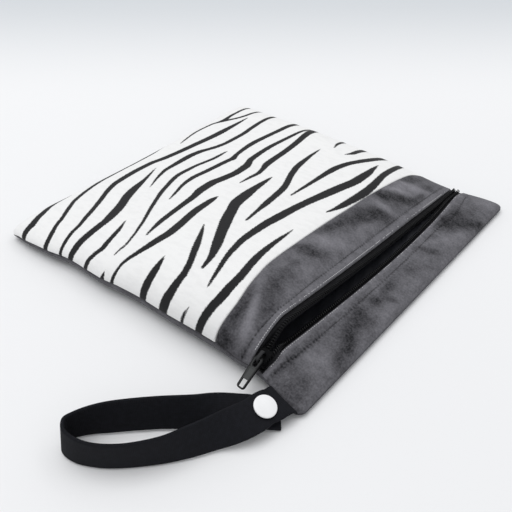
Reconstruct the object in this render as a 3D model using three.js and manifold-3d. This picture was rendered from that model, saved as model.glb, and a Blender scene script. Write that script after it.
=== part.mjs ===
// Zipped wipes pouch that lies on a table with its mouth open and its wrist strap snapped into a loop.
// Millimetres, +Z up. X runs along the zip, -Y is the mouth end and z = 0 is the table.
import * as THREE from 'three';
import Module from 'manifold-3d';

const wasm = await Module();
wasm.setup();

// Driving dimensions
const clothWall = 2.0;
const touchGap = 0.3;
const cornerRadius = 4.5;
const bottomY = 107;
const topY = -109;
const cornerFade = 24;
const backRoll = 11;
const backEndRoll = 7;
const liningWall = 0.8;
const tapeWall = 0.6;
const tapeUnderBand = 0.06;
const lipStep = 0.6;
const tapeShow = 3.1;
const lipDraw = 2.6;
const chainY = -79.5;
const chainTilt = THREE.MathUtils.degToRad(20);
const coilHalfWidth = 1.1;
const coilHalfHeight = 0.95;
const strapWidth = 16;
const strapThickness = 1.6;
const snapDiameter = 11;
const snapGap = 0.45;
const pullLength = 16.2;
const pullWidth = 5.0;
const pullTipWidth = 4.2;
const pullThickness = 1.3;
const pullDroop = THREE.MathUtils.degToRad(29);

function named(columns, rows) {
  return rows.map((row) => Object.fromEntries(columns.map((name, i) => [name, row[i]])));
}

// Side seams, a row for each station along the pouch: half width in plan and seam heights
const outlineRows = [
  { y: -109, halfWidth: 108.0, seamLeft: 2.4, seamRight: 2.4 },
  { y: -97, halfWidth: 106.0, seamLeft: 4.0, seamRight: 3.6 },
  { y: -83.6, halfWidth: 103.2, seamLeft: 7.0, seamRight: 4.4 },
  { y: -75, halfWidth: 102.4, seamLeft: 8.2, seamRight: 4.6 },
  { y: -52, halfWidth: 101.5, seamLeft: 9.2, seamRight: 5.2 },
  { y: -15, halfWidth: 101.5, seamLeft: 9.0, seamRight: 5.5 },
  { y: 30, halfWidth: 102.0, seamLeft: 8.0, seamRight: 5.5 },
  { y: 70, halfWidth: 103.5, seamLeft: 6.5, seamRight: 5.0 },
  { y: 99, halfWidth: 105.5, seamLeft: 5.0, seamRight: 4.5 },
  { y: 107, halfWidth: 107.0, seamLeft: 4.0, seamRight: 4.0 },
];

// Columns of the section tables: place along the run and in plan, the bow of the row and its lean to the
// right, crown heights at each side and their sag between, and the reach and roundness of the roll-off
const sectionColumns =
  ['v', 'y', 'bow', 'lean', 'crownLeft', 'crownRight', 'sag', 'rollLeft', 'rollRight', 'round'];

// Front of the pouch from the bottom seam (v = 0) to the lip at the zip (v = 1)
const frontRows = named(sectionColumns, [
  [0.00, 107.0, -3, 0, 4.2, 4.2, 0, 25, 16, 2],
  [0.02, 105.5, -3, 0, 9.0, 8.0, 0, 25, 16, 2],
  [0.06, 99.0, -2, 0, 13.5, 12.0, 0, 26, 17, 2],
  [0.20, 70.0, -1, 0, 18.0, 15.0, 0, 28, 19, 2],
  [0.40, 30.0, 0, 0, 24.0, 18.0, 0, 30, 24, 2],
  [0.62, -15.0, 0, 0, 30.0, 19.0, 0, 32, 36, 2],
  [0.82, -52.0, 0, 0, 32.0, 16.5, 0, 32, 50, 1.8],
  [1.00, -75.0, 0, 0, 27.0, 8.4, 3, 25, 60, 1.25],
]);
const bandStart = 0.82;

// How far the band's seam strays along the run from a straight line, for each place across
const seamRows = [
  { x: -103, stray: 0.002 },
  { x: -90, stray: 0.0165 },
  { x: -75, stray: 0.004 },
  { x: -55, stray: -0.019 },
  { x: -40, stray: -0.0227 },
  { x: -15, stray: -0.0227 },
  { x: 20, stray: -0.018 },
  { x: 45, stray: -0.0145 },
  { x: 60, stray: -0.0067 },
  { x: 88, stray: -0.004 },
  { x: 96, stray: 0.01 },
  { x: 103, stray: 0.03 },
];

// Top band from the lip at the zip (v = 0) to the top edge (v = 1)
const topRows = named(sectionColumns, [
  [0.00, -83.6, -5.5, 0.35, 12.1, 7.9, 0, 20, 20, 1.6],
  [0.50, -97.0, -1.5, 0, 8.0, 6.9, 0, 16, 16, 1.8],
  [0.88, -106.6, 0, 0, 5.4, 5.0, 0, 12, 12, 2],
  [1.00, -109.0, 0, 0, 2.6, 2.6, 0, 12, 12, 2],
]);

// Dents pressed into the bands, each a soft trough across the band
const dents = [
  { x: -84, y: -64, halfWide: 6, halfLong: 15, depth: 1.6 },
  { x: 42, y: -62, halfWide: 12, halfLong: 13, depth: 1.4 },
  { x: -56, y: -99, halfWide: 8, halfLong: 10, depth: 0.9 },
  { x: 66, y: -97, halfWide: 6, halfLong: 12, depth: 0.9 },
];

// Strap stations from the side seam round the loop to the tail: centre of the strip and the lift of its
// width from lying flat (0) through standing on edge (90) to lying flat the other way (180)
const strapRows = [
  { x: -107.3, y: -97.2, z: 4.9, lift: 10 },
  { x: -113.2, y: -97.4, z: 8.1, lift: 20 },
  { x: -117.9, y: -96.0, z: 8.75, lift: 22 },
  { x: -124.6, y: -95.1, z: 9.1, lift: 24 },
  { x: -133.5, y: -91.6, z: 8.8, lift: 42 },
  { x: -141.0, y: -87.5, z: 8.0, lift: 61 },
  { x: -152.0, y: -81.8, z: 8.2, lift: 76 },
  { x: -162.1, y: -76.2, z: 8.3, lift: 84 },
  { x: -174.3, y: -65.8, z: 8.3, lift: 88 },
  { x: -181.2, y: -56.6, z: 8.3, lift: 90 },
  { x: -184.4, y: -47.8, z: 8.3, lift: 90 },
  { x: -184.0, y: -40.6, z: 8.3, lift: 90 },
  { x: -180.2, y: -37.4, z: 8.3, lift: 90 },
  { x: -175.4, y: -38.9, z: 8.3, lift: 92 },
  { x: -169.3, y: -42.6, z: 8.3, lift: 100 },
  { x: -163.1, y: -47.6, z: 8.2, lift: 108 },
  { x: -155.2, y: -54.9, z: 8.1, lift: 111 },
  { x: -147.0, y: -63.2, z: 8.0, lift: 113 },
  { x: -138.2, y: -73.2, z: 7.8, lift: 120 },
  { x: -130.0, y: -82.4, z: 7.9, lift: 147 },
  { x: -122.6, y: -89.3, z: 6.4, lift: 164 },
  { x: -117.6, y: -94.2, z: 4.3, lift: 164.5 },
  { x: -113.0, y: -99.0, z: 2.6, lift: 168 },
];
const snapStation = 2;
const underStation = 21;

// Monotone cubic through one column of a table, so that a section never overshoots its rows
function column(rows, over, key) {
  const t = rows.map((row) => row[over]);
  const f = rows.map((row) => row[key]);
  const last = t.length - 1;
  const rise = t.slice(1).map((value, i) => (f[i + 1] - f[i]) / (value - t[i]));
  const slope = f.map((_, i) => {
    if (i === 0) return rise[0];
    if (i === last) return rise[last - 1];
    const product = rise[i - 1] * rise[i];
    return product <= 0 ? 0 : (2 * product) / (rise[i - 1] + rise[i]);
  });
  return (x) => {
    let i = 0;
    while (i < last - 1 && x > t[i + 1]) i += 1;
    const h = t[i + 1] - t[i];
    const q = THREE.MathUtils.clamp((x - t[i]) / h, 0, 1);
    const start = f[i] * (1 + 2 * q) * (1 - q) ** 2 + slope[i] * h * q * (1 - q) ** 2;
    return start + f[i + 1] * q * q * (3 - 2 * q) + slope[i + 1] * h * q * q * (q - 1);
  };
}

// Every column of a table as a function of its first key
function table(rows, over) {
  const keys = Object.keys(rows[0]).filter((key) => key !== over);
  const columns = keys.map((key) => column(rows, over, key));
  return (x) => Object.fromEntries(keys.map((key, i) => [key, columns[i](x)]));
}

const outline = table(outlineRows, 'y');
const front = table(frontRows, 'v');
const top = table(topRows, 'v');

// Rounded shoulder: 0 at the seam and 1 from the reach inward, a quarter ellipse where round is 2
function rollOff(distance, reach, round = 2) {
  const q = 1 - THREE.MathUtils.clamp(distance / reach, 0, 1);
  return (1 - q ** round) ** (1 / round);
}

// How far a plan corner is cut back at the cross position s of a row
function cornerCut(rowY, s, halfWidth) {
  const past = Math.max(0, Math.abs(s) * halfWidth - (halfWidth - cornerRadius));
  const cut = cornerRadius - Math.sqrt(Math.max(0, cornerRadius ** 2 - past ** 2));
  const nearBottom = Math.max(0, 1 - (bottomY - rowY) / cornerFade);
  const nearTop = Math.max(0, 1 - (rowY - topY) / cornerFade);
  return cut * (nearTop - nearBottom);
}

function dentDepth(x, y) {
  const pressed = (dent) => {
    const across = ((x - dent.x) / dent.halfWide) ** 2;
    const along = ((y - dent.y) / dent.halfLong) ** 2;
    return dent.depth * Math.exp(-across - along);
  };
  return dents.reduce((sum, dent) => sum + pressed(dent), 0);
}

// A point on the top side of the pouch; inset 0 is the outer face and the wall is the inner face
function crownPoint(row, s, inset, endInset) {
  const edge = outline(row.y);
  const side = (s + 1) / 2;
  const seam = THREE.MathUtils.lerp(edge.seamLeft, edge.seamRight, side) + touchGap / 2;
  const crown = THREE.MathUtils.lerp(row.crownLeft, row.crownRight, side) - row.sag * (1 - s * s);
  const reach = (s < 0 ? row.rollLeft : row.rollRight) - inset;
  const halfWidth = edge.halfWidth - inset;
  const x = s * halfWidth;
  const bow = row.bow * (1 - s * s) * (1 + row.lean * s);
  const y = row.y + bow + cornerCut(row.y, s, edge.halfWidth) - endInset.shift;
  const lowest = seam * (1 - endInset.share);
  const height = Math.max(crown - inset * endInset.share - dentDepth(x, y), lowest);
  const z = seam + (height - seam) * rollOff((1 - Math.abs(s)) * halfWidth, reach, row.round);
  return new THREE.Vector3(x, y, z);
}

// At the bottom seam and the top edge the wall turns down, so its inner face steps in along Y instead
function frontPoint(s, v, inset) {
  const turn = Math.max(0, 1 - v / 0.05);
  return crownPoint(front(v), s, inset, { shift: inset * turn, share: 1 - turn });
}

// The lip of the top band is drawn toward the zip, least beside the slider and at the right end
function topPoint(s, v, inset) {
  const turn = Math.max(0, 1 - (1 - v) / 0.12);
  const point = crownPoint(top(v), s, inset, { shift: -inset * turn, share: 1 - turn });
  const left = 0.15 + 0.85 * THREE.MathUtils.smoothstep(point.x, -93, -82);
  const right = THREE.MathUtils.smoothstep(point.x, 92, 106);
  point.y += lipDraw * left * (1 - right) * Math.max(0, 1 - v / 0.5);
  return point;
}

// The front with its seam strayed: full at the seam and gone well before the lip and the middle
const seamStray = column(seamRows, 'x', 'stray');

function strayedPoint(s, v, inset) {
  const near = Math.max(0, 1 - Math.abs(v - bandStart) / 0.16);
  return frontPoint(s, v + near * seamStray(102 * s), inset);
}

// A point on the back: flat on the table, rolled up to the seam all round
function backPoint(s, v, inset) {
  const rowY = THREE.MathUtils.lerp(bottomY, topY, v);
  const edge = outline(rowY);
  const seamLine = THREE.MathUtils.lerp(edge.seamLeft, edge.seamRight, (s + 1) / 2);
  const seam = seamLine - touchGap / 2;
  const halfWidth = edge.halfWidth - inset;
  const toEnd = Math.min(bottomY - rowY, rowY - topY);
  const sideLift = 1 - rollOff((1 - Math.abs(s)) * halfWidth, backRoll - inset);
  const endLift = 1 - rollOff(toEnd, backEndRoll);
  const lift = sideLift + endLift - sideLift * endLift;
  const endStep = inset * Math.max(0, 1 - toEnd / backEndRoll) * (v < 0.5 ? -1 : 1);
  const bow = THREE.MathUtils.lerp(frontRows[0].bow, 0, Math.min(1, v / 0.1));
  const y = rowY + bow * (1 - s * s) + cornerCut(rowY, s, edge.halfWidth) + endStep;
  return new THREE.Vector3(s * halfWidth, y, inset + (seam - inset) * lift);
}

function geometryOf(points, faces) {
  const geometry = new THREE.BufferGeometry().setFromPoints(points);
  geometry.setIndex(faces.flat());
  geometry.computeVertexNormals();
  return geometry;
}

// Six times the volume that the faces enclose, positive where they face outward
function enclosed(points, faces) {
  const volume = (face) => {
    const [a, b, c] = face.map((index) => points[index]);
    return a.dot(new THREE.Vector3().crossVectors(b, c));
  };
  return faces.reduce((sum, face) => sum + volume(face), 0);
}

function closedGeometry(points, faces) {
  const outward = enclosed(points, faces) > 0;
  return geometryOf(points, outward ? faces : faces.map(([a, b, c]) => [a, c, b]));
}

// A closed sheet between two faces given as functions of a cross position and a run position
function sheet(across, along, outerFace, innerFace) {
  const points = [];
  for (const face of [outerFace, innerFace]) {
    for (const v of along) {
      for (const s of across) points.push(face(s, v));
    }
  }
  const width = across.length;
  const length = along.length;
  const inner = width * length;
  const faces = [];
  const quad = (a, b, c, d) => faces.push([a, b, c], [a, c, d]);
  for (let j = 0; j < length - 1; j += 1) {
    for (let i = 0; i < width - 1; i += 1) {
      const a = j * width + i;
      quad(a, a + 1, a + width + 1, a + width);
      quad(inner + a, inner + a + width, inner + a + width + 1, inner + a + 1);
    }
  }
  for (let i = 0; i < width - 1; i += 1) {
    const end = (length - 1) * width + i;
    quad(i, inner + i, inner + i + 1, i + 1);
    quad(end + 1, inner + end + 1, inner + end, end);
  }
  for (let j = 0; j < length - 1; j += 1) {
    const start = j * width;
    const end = start + width - 1;
    quad(start + width, inner + start + width, inner + start, start);
    quad(end, inner + end, inner + end + width, end + width);
  }
  return closedGeometry(points, faces);
}

// A closed bar through rings of points that all have the same count
function bar(rings) {
  const points = rings.flat();
  const sides = rings[0].length;
  const faces = [];
  for (let j = 0; j < rings.length - 1; j += 1) {
    for (let i = 0; i < sides; i += 1) {
      const a = j * sides + i;
      const b = j * sides + ((i + 1) % sides);
      faces.push([a, b, b + sides], [a, b + sides, a + sides]);
    }
  }
  const lastRing = (rings.length - 1) * sides;
  for (let i = 1; i < sides - 1; i += 1) {
    faces.push([0, i + 1, i], [lastRing, lastRing + i, lastRing + i + 1]);
  }
  return closedGeometry(points, faces);
}

// Cross positions from one side to the other, closer together toward the rolled edges
function crossPositions(count, limit = 1) {
  return Array.from({ length: count + 1 }, (_, i) => {
    const q = (2 * i) / count - 1;
    return limit * q * (1.5 - 0.5 * q * q);
  });
}

function steps(from, to, count) {
  return Array.from({ length: count + 1 }, (_, i) => THREE.MathUtils.lerp(from, to, i / count));
}

function solidOf(geometry) {
  const position = geometry.getAttribute('position');
  const places = new Map();
  const vertProperties = [];
  const mergedIndex = (index) => {
    const xyz = [position.getX(index), position.getY(index), position.getZ(index)];
    const key = xyz.map((value) => Math.round(value * 1e4)).join(' ');
    if (!places.has(key)) {
      places.set(key, places.size);
      vertProperties.push(...xyz);
    }
    return places.get(key);
  };
  const order = geometry.index ? [...geometry.index.array] : [...Array(position.count).keys()];
  const merged = order.map(mergedIndex);
  const triVerts = [];
  for (let i = 0; i < merged.length; i += 3) {
    const [a, b, c] = merged.slice(i, i + 3);
    if (a !== b && b !== c && c !== a) triVerts.push(a, b, c);
  }
  const mesh = new wasm.Mesh({
    numProp: 3,
    vertProperties: new Float32Array(vertProperties),
    triVerts: new Uint32Array(triVerts),
  });
  return new wasm.Manifold(mesh);
}

function geometryFrom(solid) {
  const mesh = solid.getMesh();
  const geometry = new THREE.BufferGeometry();
  geometry.setAttribute('position', new THREE.BufferAttribute(new Float32Array(mesh.vertProperties), 3));
  geometry.setIndex([...mesh.triVerts]);
  geometry.computeVertexNormals();
  return geometry;
}

function box(sizeX, sizeY, sizeZ, x, y, z) {
  return solidOf(new THREE.BoxGeometry(sizeX, sizeY, sizeZ).translate(x, y, z));
}

function finish(color, roughness, metalness = 0) {
  return new THREE.MeshStandardMaterial({ color, roughness, metalness });
}

function piece(name, geometry, material) {
  const mesh = new THREE.Mesh(geometry, material);
  mesh.name = name;
  return mesh;
}

// The plush walls and the lining
function buildBag() {
  const bag = new THREE.Group();
  const across = crossPositions(32);
  const frontRun = bottomY - frontRows.at(-1).y;
  const halfSeam = touchGap / 2 / frontRun;
  const turnRuns = [0, 0.008, 0.02, 0.04, 0.08, 0.14];
  const panelRuns = [...turnRuns, ...steps(0.22, 0.72, 5), bandStart - halfSeam];
  const wall = (face) => (s, v) => face(s, v, clothWall);
  const outer = (face) => (s, v) => face(s, v, 0);
  const cloth = (runs, face) => sheet(across, runs, outer(face), wall(face));
  const charcoal = () => finish('#5b5b60', 0.95);
  bag.add(piece('front_panel', cloth(panelRuns, strayedPoint), finish('#f0f0f0', 0.95)));
  bag.add(piece('front_band', cloth(steps(bandStart + halfSeam, 1, 5), strayedPoint), charcoal()));
  const topRuns = [0, 0.18, 0.36, 0.54, 0.72, 0.86, 0.94, 0.98, 1];
  bag.add(piece('top_band', cloth(topRuns, topPoint), charcoal()));
  const backTurn = [0, 0.004, 0.012, 0.03];
  const backRuns = [...backTurn, 0.1, 0.26, 0.44, 0.62, 0.78, 0.86, 0.93];
  backRuns.push(...backTurn.map((v) => 1 - v).reverse());
  bag.add(piece('back_panel', cloth(backRuns, backPoint), charcoal()));

  const liningAcross = crossPositions(16, 0.92).map((s) => (s > 0 ? 0.8 * s : s));
  const frontLining = clothWall + tapeWall + 6 * touchGap;
  const backLining = clothWall + touchGap;
  const black = () => finish('#0b0c0f', 0.9);
  const under = (face, depth) => (s, v) => face(s, v, depth);
  const sheetUnder = (runs, face, depth) =>
    sheet(liningAcross, runs, under(face, depth), under(face, depth + liningWall));
  bag.add(piece('lining_front', sheetUnder(steps(0.5, 0.985, 5), frontPoint, frontLining), black()));
  bag.add(piece('lining_back', sheetUnder(steps(0.52, 0.955, 4), backPoint, backLining), black()));
  return bag;
}

// The zip's closed chain climbs from each side seam at the ends; 1 on the chain and 0 where the mouth is free
const slider = { x: -97, halfLength: 4.3, halfWidth: 3.0, shoulder: 3.3 };
const leftEnd = -103;
const rightEnd = 100.5;
const zipEnd = 0.985;
const leftSeamZ = 8.6;
const rightSeamZ = 5.3;

function chainHeight(x) {
  return x < 0 ? leftSeamZ + (x - leftEnd) * Math.tan(chainTilt) : rightSeamZ;
}

function onChain(x) {
  const left = THREE.MathUtils.smoothstep(x, slider.x + slider.halfLength, slider.x + 16);
  const right = THREE.MathUtils.smoothstep(x, rightEnd - 22, rightEnd - 1);
  return Math.max(1 - left, right);
}

// Half the gap between the two tape edges: closed behind the slider, opened by its post
function chainHalfGap(x) {
  const open = THREE.MathUtils.smoothstep(x, slider.x - 0.5, slider.x + 2.2);
  const shut = THREE.MathUtils.smoothstep(x, rightEnd - 22, rightEnd - 1);
  return touchGap / 2 + 0.8 * open * (1 - shut);
}

// The points across the upper face of one tape: under the band, at its lip, beside the coil, at the free edge
function tapeSide(face, lipRun, hiddenRun, inward, freeSlope) {
  const depth = clothWall + 2 * touchGap;
  return (s) => {
    const lip = face(s, lipRun, depth);
    lip.y += inward * lipStep;
    const reach = Math.max(0, (Math.abs(s) - 0.85) / (zipEnd - 0.85)) ** 2;
    const x = lip.x + Math.sign(s) * reach * (rightEnd - zipEnd * Math.abs(lip.x / s));
    const free = new THREE.Vector3(x, lip.y + inward * tapeShow, lip.z + freeSlope * tapeShow);
    const closed = new THREE.Vector3(x, chainY - inward * chainHalfGap(x), chainHeight(x));
    const share = onChain(x);
    const edge = free.clone().lerp(closed, share);
    const pastSlider = THREE.MathUtils.smoothstep(x, slider.x + slider.halfLength, slider.x + 9);
    const shoulder = closed.clone().setY(closed.y - inward * (3.3 - 0.6 * pastSlider));
    const beside = free.clone().lerp(lip, 0.6).lerp(shoulder, share);
    return [face(s, hiddenRun, depth + 2 * touchGap), lip, beside, edge];
  };
}

// The same points on the lower face, moved down square to the tape's own slope
function tapeUnderside(points, inward) {
  const normals = points.slice(1).map((point, i) => {
    const step = point.clone().sub(points[i]).setX(0).normalize();
    return new THREE.Vector3(0, -inward * step.z, inward * step.y);
  });
  return points.map((point, i) => {
    const before = normals[Math.max(0, i - 1)];
    const after = normals[Math.min(i, normals.length - 1)];
    const mean = before.clone().add(after).normalize();
    return point.clone().addScaledVector(mean, -tapeWall / Math.max(0.5, mean.dot(after)));
  });
}

const zipStations = [...steps(-zipEnd, -0.84, 13), ...steps(-0.8, 0.78, 20), ...steps(0.82, zipEnd, 8)];

function buildTape(name, pointsAt, inward) {
  const upper = (s, row) => pointsAt(s)[row];
  const lower = (s, row) => tapeUnderside(pointsAt(s), inward)[row];
  return piece(name, sheet(zipStations, [0, 1, 2, 3], upper, lower), finish('#19191c', 0.8));
}

// The coil row lies on the tape's free edge, tilted as the tape is
function buildCoil(name, pointsAt) {
  const sides = 6;
  const rings = zipStations.map((s) => {
    const [, , beside, edge] = pointsAt(s);
    const back = beside.clone().sub(edge).setX(0).normalize();
    const up = new THREE.Vector3(0, -back.z, back.y).multiplyScalar(Math.sign(back.y));
    const centre = edge.clone().addScaledVector(back, coilHalfWidth + 0.05);
    centre.addScaledVector(up, coilHalfHeight + touchGap);
    return Array.from({ length: sides }, (_, i) => {
      const angle = ((i + 0.5) / sides) * 2 * Math.PI;
      const rim = centre.clone().addScaledVector(back, coilHalfWidth * Math.cos(angle));
      return rim.addScaledVector(up, coilHalfHeight * Math.sin(angle));
    });
  });
  return piece(name, bar(rings), finish('#141416', 0.5));
}

// Slider in its own frame: X along the chain toward the open mouth, z = 0 on top of the tapes
const plate = 0.9;
const upperPlate = 2 * coilHalfHeight + 3 * touchGap;
const lowerPlate = -tapeWall - touchGap - plate;
const bail = { back: -4.2, backInner: -3.35, frontInner: 0.75, front: 1.7, thickness: 1.6, wall: 0.95 };
const pivot = { x: -2.18, z: upperPlate + plate + 1.7 };
const barRadius = pullThickness / 2;
const barSweep = barRadius * Math.SQRT2;

function platePlan() {
  const { halfLength, halfWidth, shoulder } = slider;
  const side = [[-halfLength, 2.4], [-halfLength + 1, halfWidth], [0.4, halfWidth], [2.4, shoulder],
    [halfLength - 1.2, shoulder], [halfLength, shoulder - 1.4]];
  const outlinePoints = [...side, ...side.map(([x, y]) => [x, -y]).reverse()];
  return new THREE.Shape(outlinePoints.map(([x, y]) => new THREE.Vector2(x, y)));
}

function buildSlider() {
  const flat = (z, narrow) => solidOf(new THREE.ExtrudeGeometry(platePlan(), {
    depth: plate,
    bevelEnabled: false,
  }).scale(1, narrow, 1).translate(0, 0, z));
  const flangeHeight = upperPlate - touchGap + 0.1;
  const flangeWall = 0.45;
  const flangeY = slider.halfWidth - flangeWall / 2;
  const flangeZ = touchGap + flangeHeight / 2;
  const flange = (side) => box(3.2, flangeWall, flangeHeight, -2.2, side * flangeY, flangeZ);
  const postHeight = upperPlate - lowerPlate;
  const post = box(1.8, 1.2, postHeight, 3.1, 0, lowerPlate + postHeight / 2);
  const crown = pivot.z + barSweep + touchGap;
  const arch = new THREE.Shape();
  arch.moveTo(bail.back, upperPlate + plate / 2);
  arch.lineTo(bail.front, upperPlate + plate / 2);
  arch.lineTo(bail.front, crown - 0.6);
  arch.absarc(bail.front - 1.5, crown + bail.wall - 1.5, 1.5, 0, Math.PI / 2, false);
  arch.absarc(bail.back + 1.5, crown + bail.wall - 1.5, 1.5, Math.PI / 2, Math.PI, false);
  arch.closePath();
  const window = new THREE.Path();
  window.moveTo(bail.backInner, upperPlate + plate);
  window.lineTo(bail.frontInner, upperPlate + plate);
  window.lineTo(bail.frontInner, crown);
  window.lineTo(bail.backInner, crown);
  window.closePath();
  arch.holes.push(window);
  const archSolid = solidOf(new THREE.ExtrudeGeometry(arch, {
    depth: bail.thickness,
    bevelEnabled: false,
    curveSegments: 5,
  }).translate(0, 0, -bail.thickness / 2).rotateX(Math.PI / 2));
  const plates = flat(upperPlate, 1).add(flat(lowerPlate, 0.85));
  const body = plates.add(flange(1)).add(flange(-1)).add(post).add(archSolid);
  return piece('zip_slider', geometryFrom(body), finish('#17171a', 0.35, 0.6));
}

// Pull tab in its own frame: hinge along Y at the origin, tab toward -X
function buildPull() {
  const half = pullWidth / 2;
  const tipHalf = pullTipWidth / 2;
  const tip = -pullLength;
  const end = 1.4;
  const rim = 0.8;
  const slotEnd = -4.8;
  const slotHalf = 1.3;
  const plan = new THREE.Shape();
  plan.moveTo(barRadius, -half + 0.6);
  plan.lineTo(barRadius, half - 0.6);
  plan.lineTo(-barRadius, half);
  plan.absarc(tip + end, tipHalf - end, end, Math.PI / 2, Math.PI, false);
  plan.absarc(tip + end, -tipHalf + end, end, Math.PI, 1.5 * Math.PI, false);
  plan.lineTo(-barRadius, -half);
  plan.closePath();
  const slot = new THREE.Path();
  slot.moveTo(-barRadius, -slotHalf);
  slot.lineTo(-barRadius, slotHalf);
  slot.absarc(slotEnd + slotHalf, 0, slotHalf, Math.PI / 2, 1.5 * Math.PI, false);
  slot.closePath();
  const hole = new THREE.Path();
  const holeHalf = tipHalf - rim;
  const holeTop = tip + rim + 4.1;
  hole.moveTo(holeTop, -holeHalf);
  hole.lineTo(holeTop, holeHalf);
  hole.absarc(tip + rim + 1, holeHalf - 1, 1, Math.PI / 2, Math.PI, false);
  hole.absarc(tip + rim + 1, -holeHalf + 1, 1, Math.PI, 1.5 * Math.PI, false);
  hole.closePath();
  plan.holes.push(slot, hole);
  const blank = solidOf(new THREE.ExtrudeGeometry(plan, {
    depth: pullThickness,
    bevelEnabled: false,
    curveSegments: 5,
  }).translate(0, 0, -pullThickness / 2));
  const recessLength = slotEnd - 0.7 - (holeTop + 0.5);
  const recessX = slotEnd - 0.7 - recessLength / 2;
  const recess = (side) => box(recessLength, 2 * holeHalf, 0.6, recessX, 0, side * (pullThickness / 2));
  const tab = blank.subtract(recess(1)).subtract(recess(-1));
  return piece('zip_pull', geometryFrom(tab), finish('#3a3b3c', 0.4, 0.6));
}

function buildZip() {
  const zip = new THREE.Group();
  const frontSide = tapeSide(frontPoint, 1, 1 - tapeUnderBand, -1, -0.35);
  const topSide = tapeSide(topPoint, 0, 5 * tapeUnderBand, 1, 0.1);
  zip.add(buildTape('zip_tape_front', frontSide, -1), buildTape('zip_tape_top', topSide, 1));
  zip.add(buildCoil('zip_coil_front', frontSide), buildCoil('zip_coil_top', topSide));
  const runner = new THREE.Group();
  runner.position.set(slider.x, chainY, chainHeight(slider.x));
  runner.rotation.y = -chainTilt;
  const pull = buildPull();
  pull.position.set(pivot.x, 0, pivot.z);
  pull.rotation.y = chainTilt - pullDroop;
  runner.add(buildSlider(), pull);
  zip.add(runner);
  return zip;
}

// Centre, tangent, width direction and face normal of the strap at a station number
const strapPath = new THREE.CatmullRomCurve3(
  strapRows.map((row) => new THREE.Vector3(row.x, row.y, row.z)), false, 'centripetal');
const strapLift = column(strapRows.map((row, i) => ({ station: i, lift: row.lift })), 'station', 'lift');

function strapFrame(station) {
  const t = station / (strapRows.length - 1);
  const centre = strapPath.getPoint(t);
  const tangent = strapPath.getTangent(t);
  const lift = THREE.MathUtils.degToRad(strapLift(station));
  const level = new THREE.Vector3(tangent.y, -tangent.x, 0).normalize().multiplyScalar(Math.cos(lift));
  const width = level.setZ(Math.sin(lift)).addScaledVector(tangent, -level.dot(tangent)).normalize();
  const normal = new THREE.Vector3().crossVectors(width, tangent).normalize();
  return { centre, tangent, width, normal };
}

// The snap's axis: square to the upper layer, through the lower one
function snapAxis() {
  const { centre, normal } = strapFrame(snapStation);
  const layerDrop = centre.clone().sub(strapFrame(underStation).centre).dot(normal);
  const middle = centre.clone().addScaledVector(normal, -layerDrop / 2);
  return { centre, normal, layerDrop, middle };
}

function snapTurn(normal) {
  return new THREE.Quaternion().setFromUnitVectors(new THREE.Vector3(0, 0, 1), normal);
}

// Lathe profile of radius and height pairs, turned so that its axis is Z
function turned(profile, segments) {
  const points = profile.map(([radius, height]) => new THREE.Vector2(radius, height));
  return new THREE.LatheGeometry(points, segments).rotateX(Math.PI / 2);
}

function buildStrap() {
  const chamfer = 0.4;
  const halfWidth = strapWidth / 2;
  const halfThick = strapThickness / 2;
  const section = [
    [halfWidth, -halfThick + chamfer], [halfWidth, halfThick - chamfer],
    [halfWidth - chamfer, halfThick], [chamfer - halfWidth, halfThick],
    [-halfWidth, halfThick - chamfer], [-halfWidth, chamfer - halfThick],
    [chamfer - halfWidth, -halfThick], [halfWidth - chamfer, -halfThick],
  ];
  const rings = steps(0, strapRows.length - 1, 2 * (strapRows.length - 1)).map((station) => {
    const { centre, width, normal } = strapFrame(station);
    return section.map(([w, n]) => centre.clone().addScaledVector(width, w).addScaledVector(normal, n));
  });
  const { middle, normal, layerDrop } = snapAxis();
  const drill = new THREE.CylinderGeometry(1.5, 1.5, 2 * layerDrop, 16).rotateX(Math.PI / 2);
  drill.applyQuaternion(snapTurn(normal)).translate(middle.x, middle.y, middle.z);
  const strip = solidOf(bar(rings)).subtract(solidOf(drill));
  return piece('strap', geometryFrom(strip), finish('#1c1d21', 0.9));
}

// Snap in the upper layer's frame, z = 0 in the middle of that layer
function buildSnap() {
  const snap = new THREE.Group();
  const { centre, normal, layerDrop } = snapAxis();
  snap.position.copy(centre);
  snap.quaternion.copy(snapTurn(normal));
  const radius = snapDiameter / 2;
  const face = strapThickness / 2;
  const postRadius = 1.2;
  const seat = face + snapGap;
  const capProfile = [
    [0, -face], [postRadius, -face], [postRadius, seat], [radius - 0.3, seat], [radius, seat + 0.4],
    [radius - 0.4, seat + 1], [radius - 1.6, seat + 1.5], [radius / 2, seat + 1.8], [0, seat + 1.9],
  ];
  const backProfile = capProfile.map(([across, height]) => [across, Math.min(height, seat + 1.2)]);
  const white = () => finish('#fafafc', 0.3);
  const cap = piece('snap_cap', turned(capProfile, 24), white());
  const coreTop = -seat;
  const coreBottom = seat - layerDrop;
  const coreRadius = radius - 1;
  const coreProfile = [[0, coreBottom], [coreRadius, coreBottom], [coreRadius, coreTop], [0, coreTop]];
  const core = piece('snap_core', turned(coreProfile, 16), white());
  const back = piece('snap_back', turned(backProfile, 16), white());
  back.position.z = -layerDrop;
  back.rotation.x = Math.PI;
  snap.add(cap, core, back);
  return snap;
}

const pouch = new THREE.Group();
pouch.name = 'wipes_pouch';
pouch.add(buildBag(), buildZip(), buildStrap(), buildSnap());

export default pouch;
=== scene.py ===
import math

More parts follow.
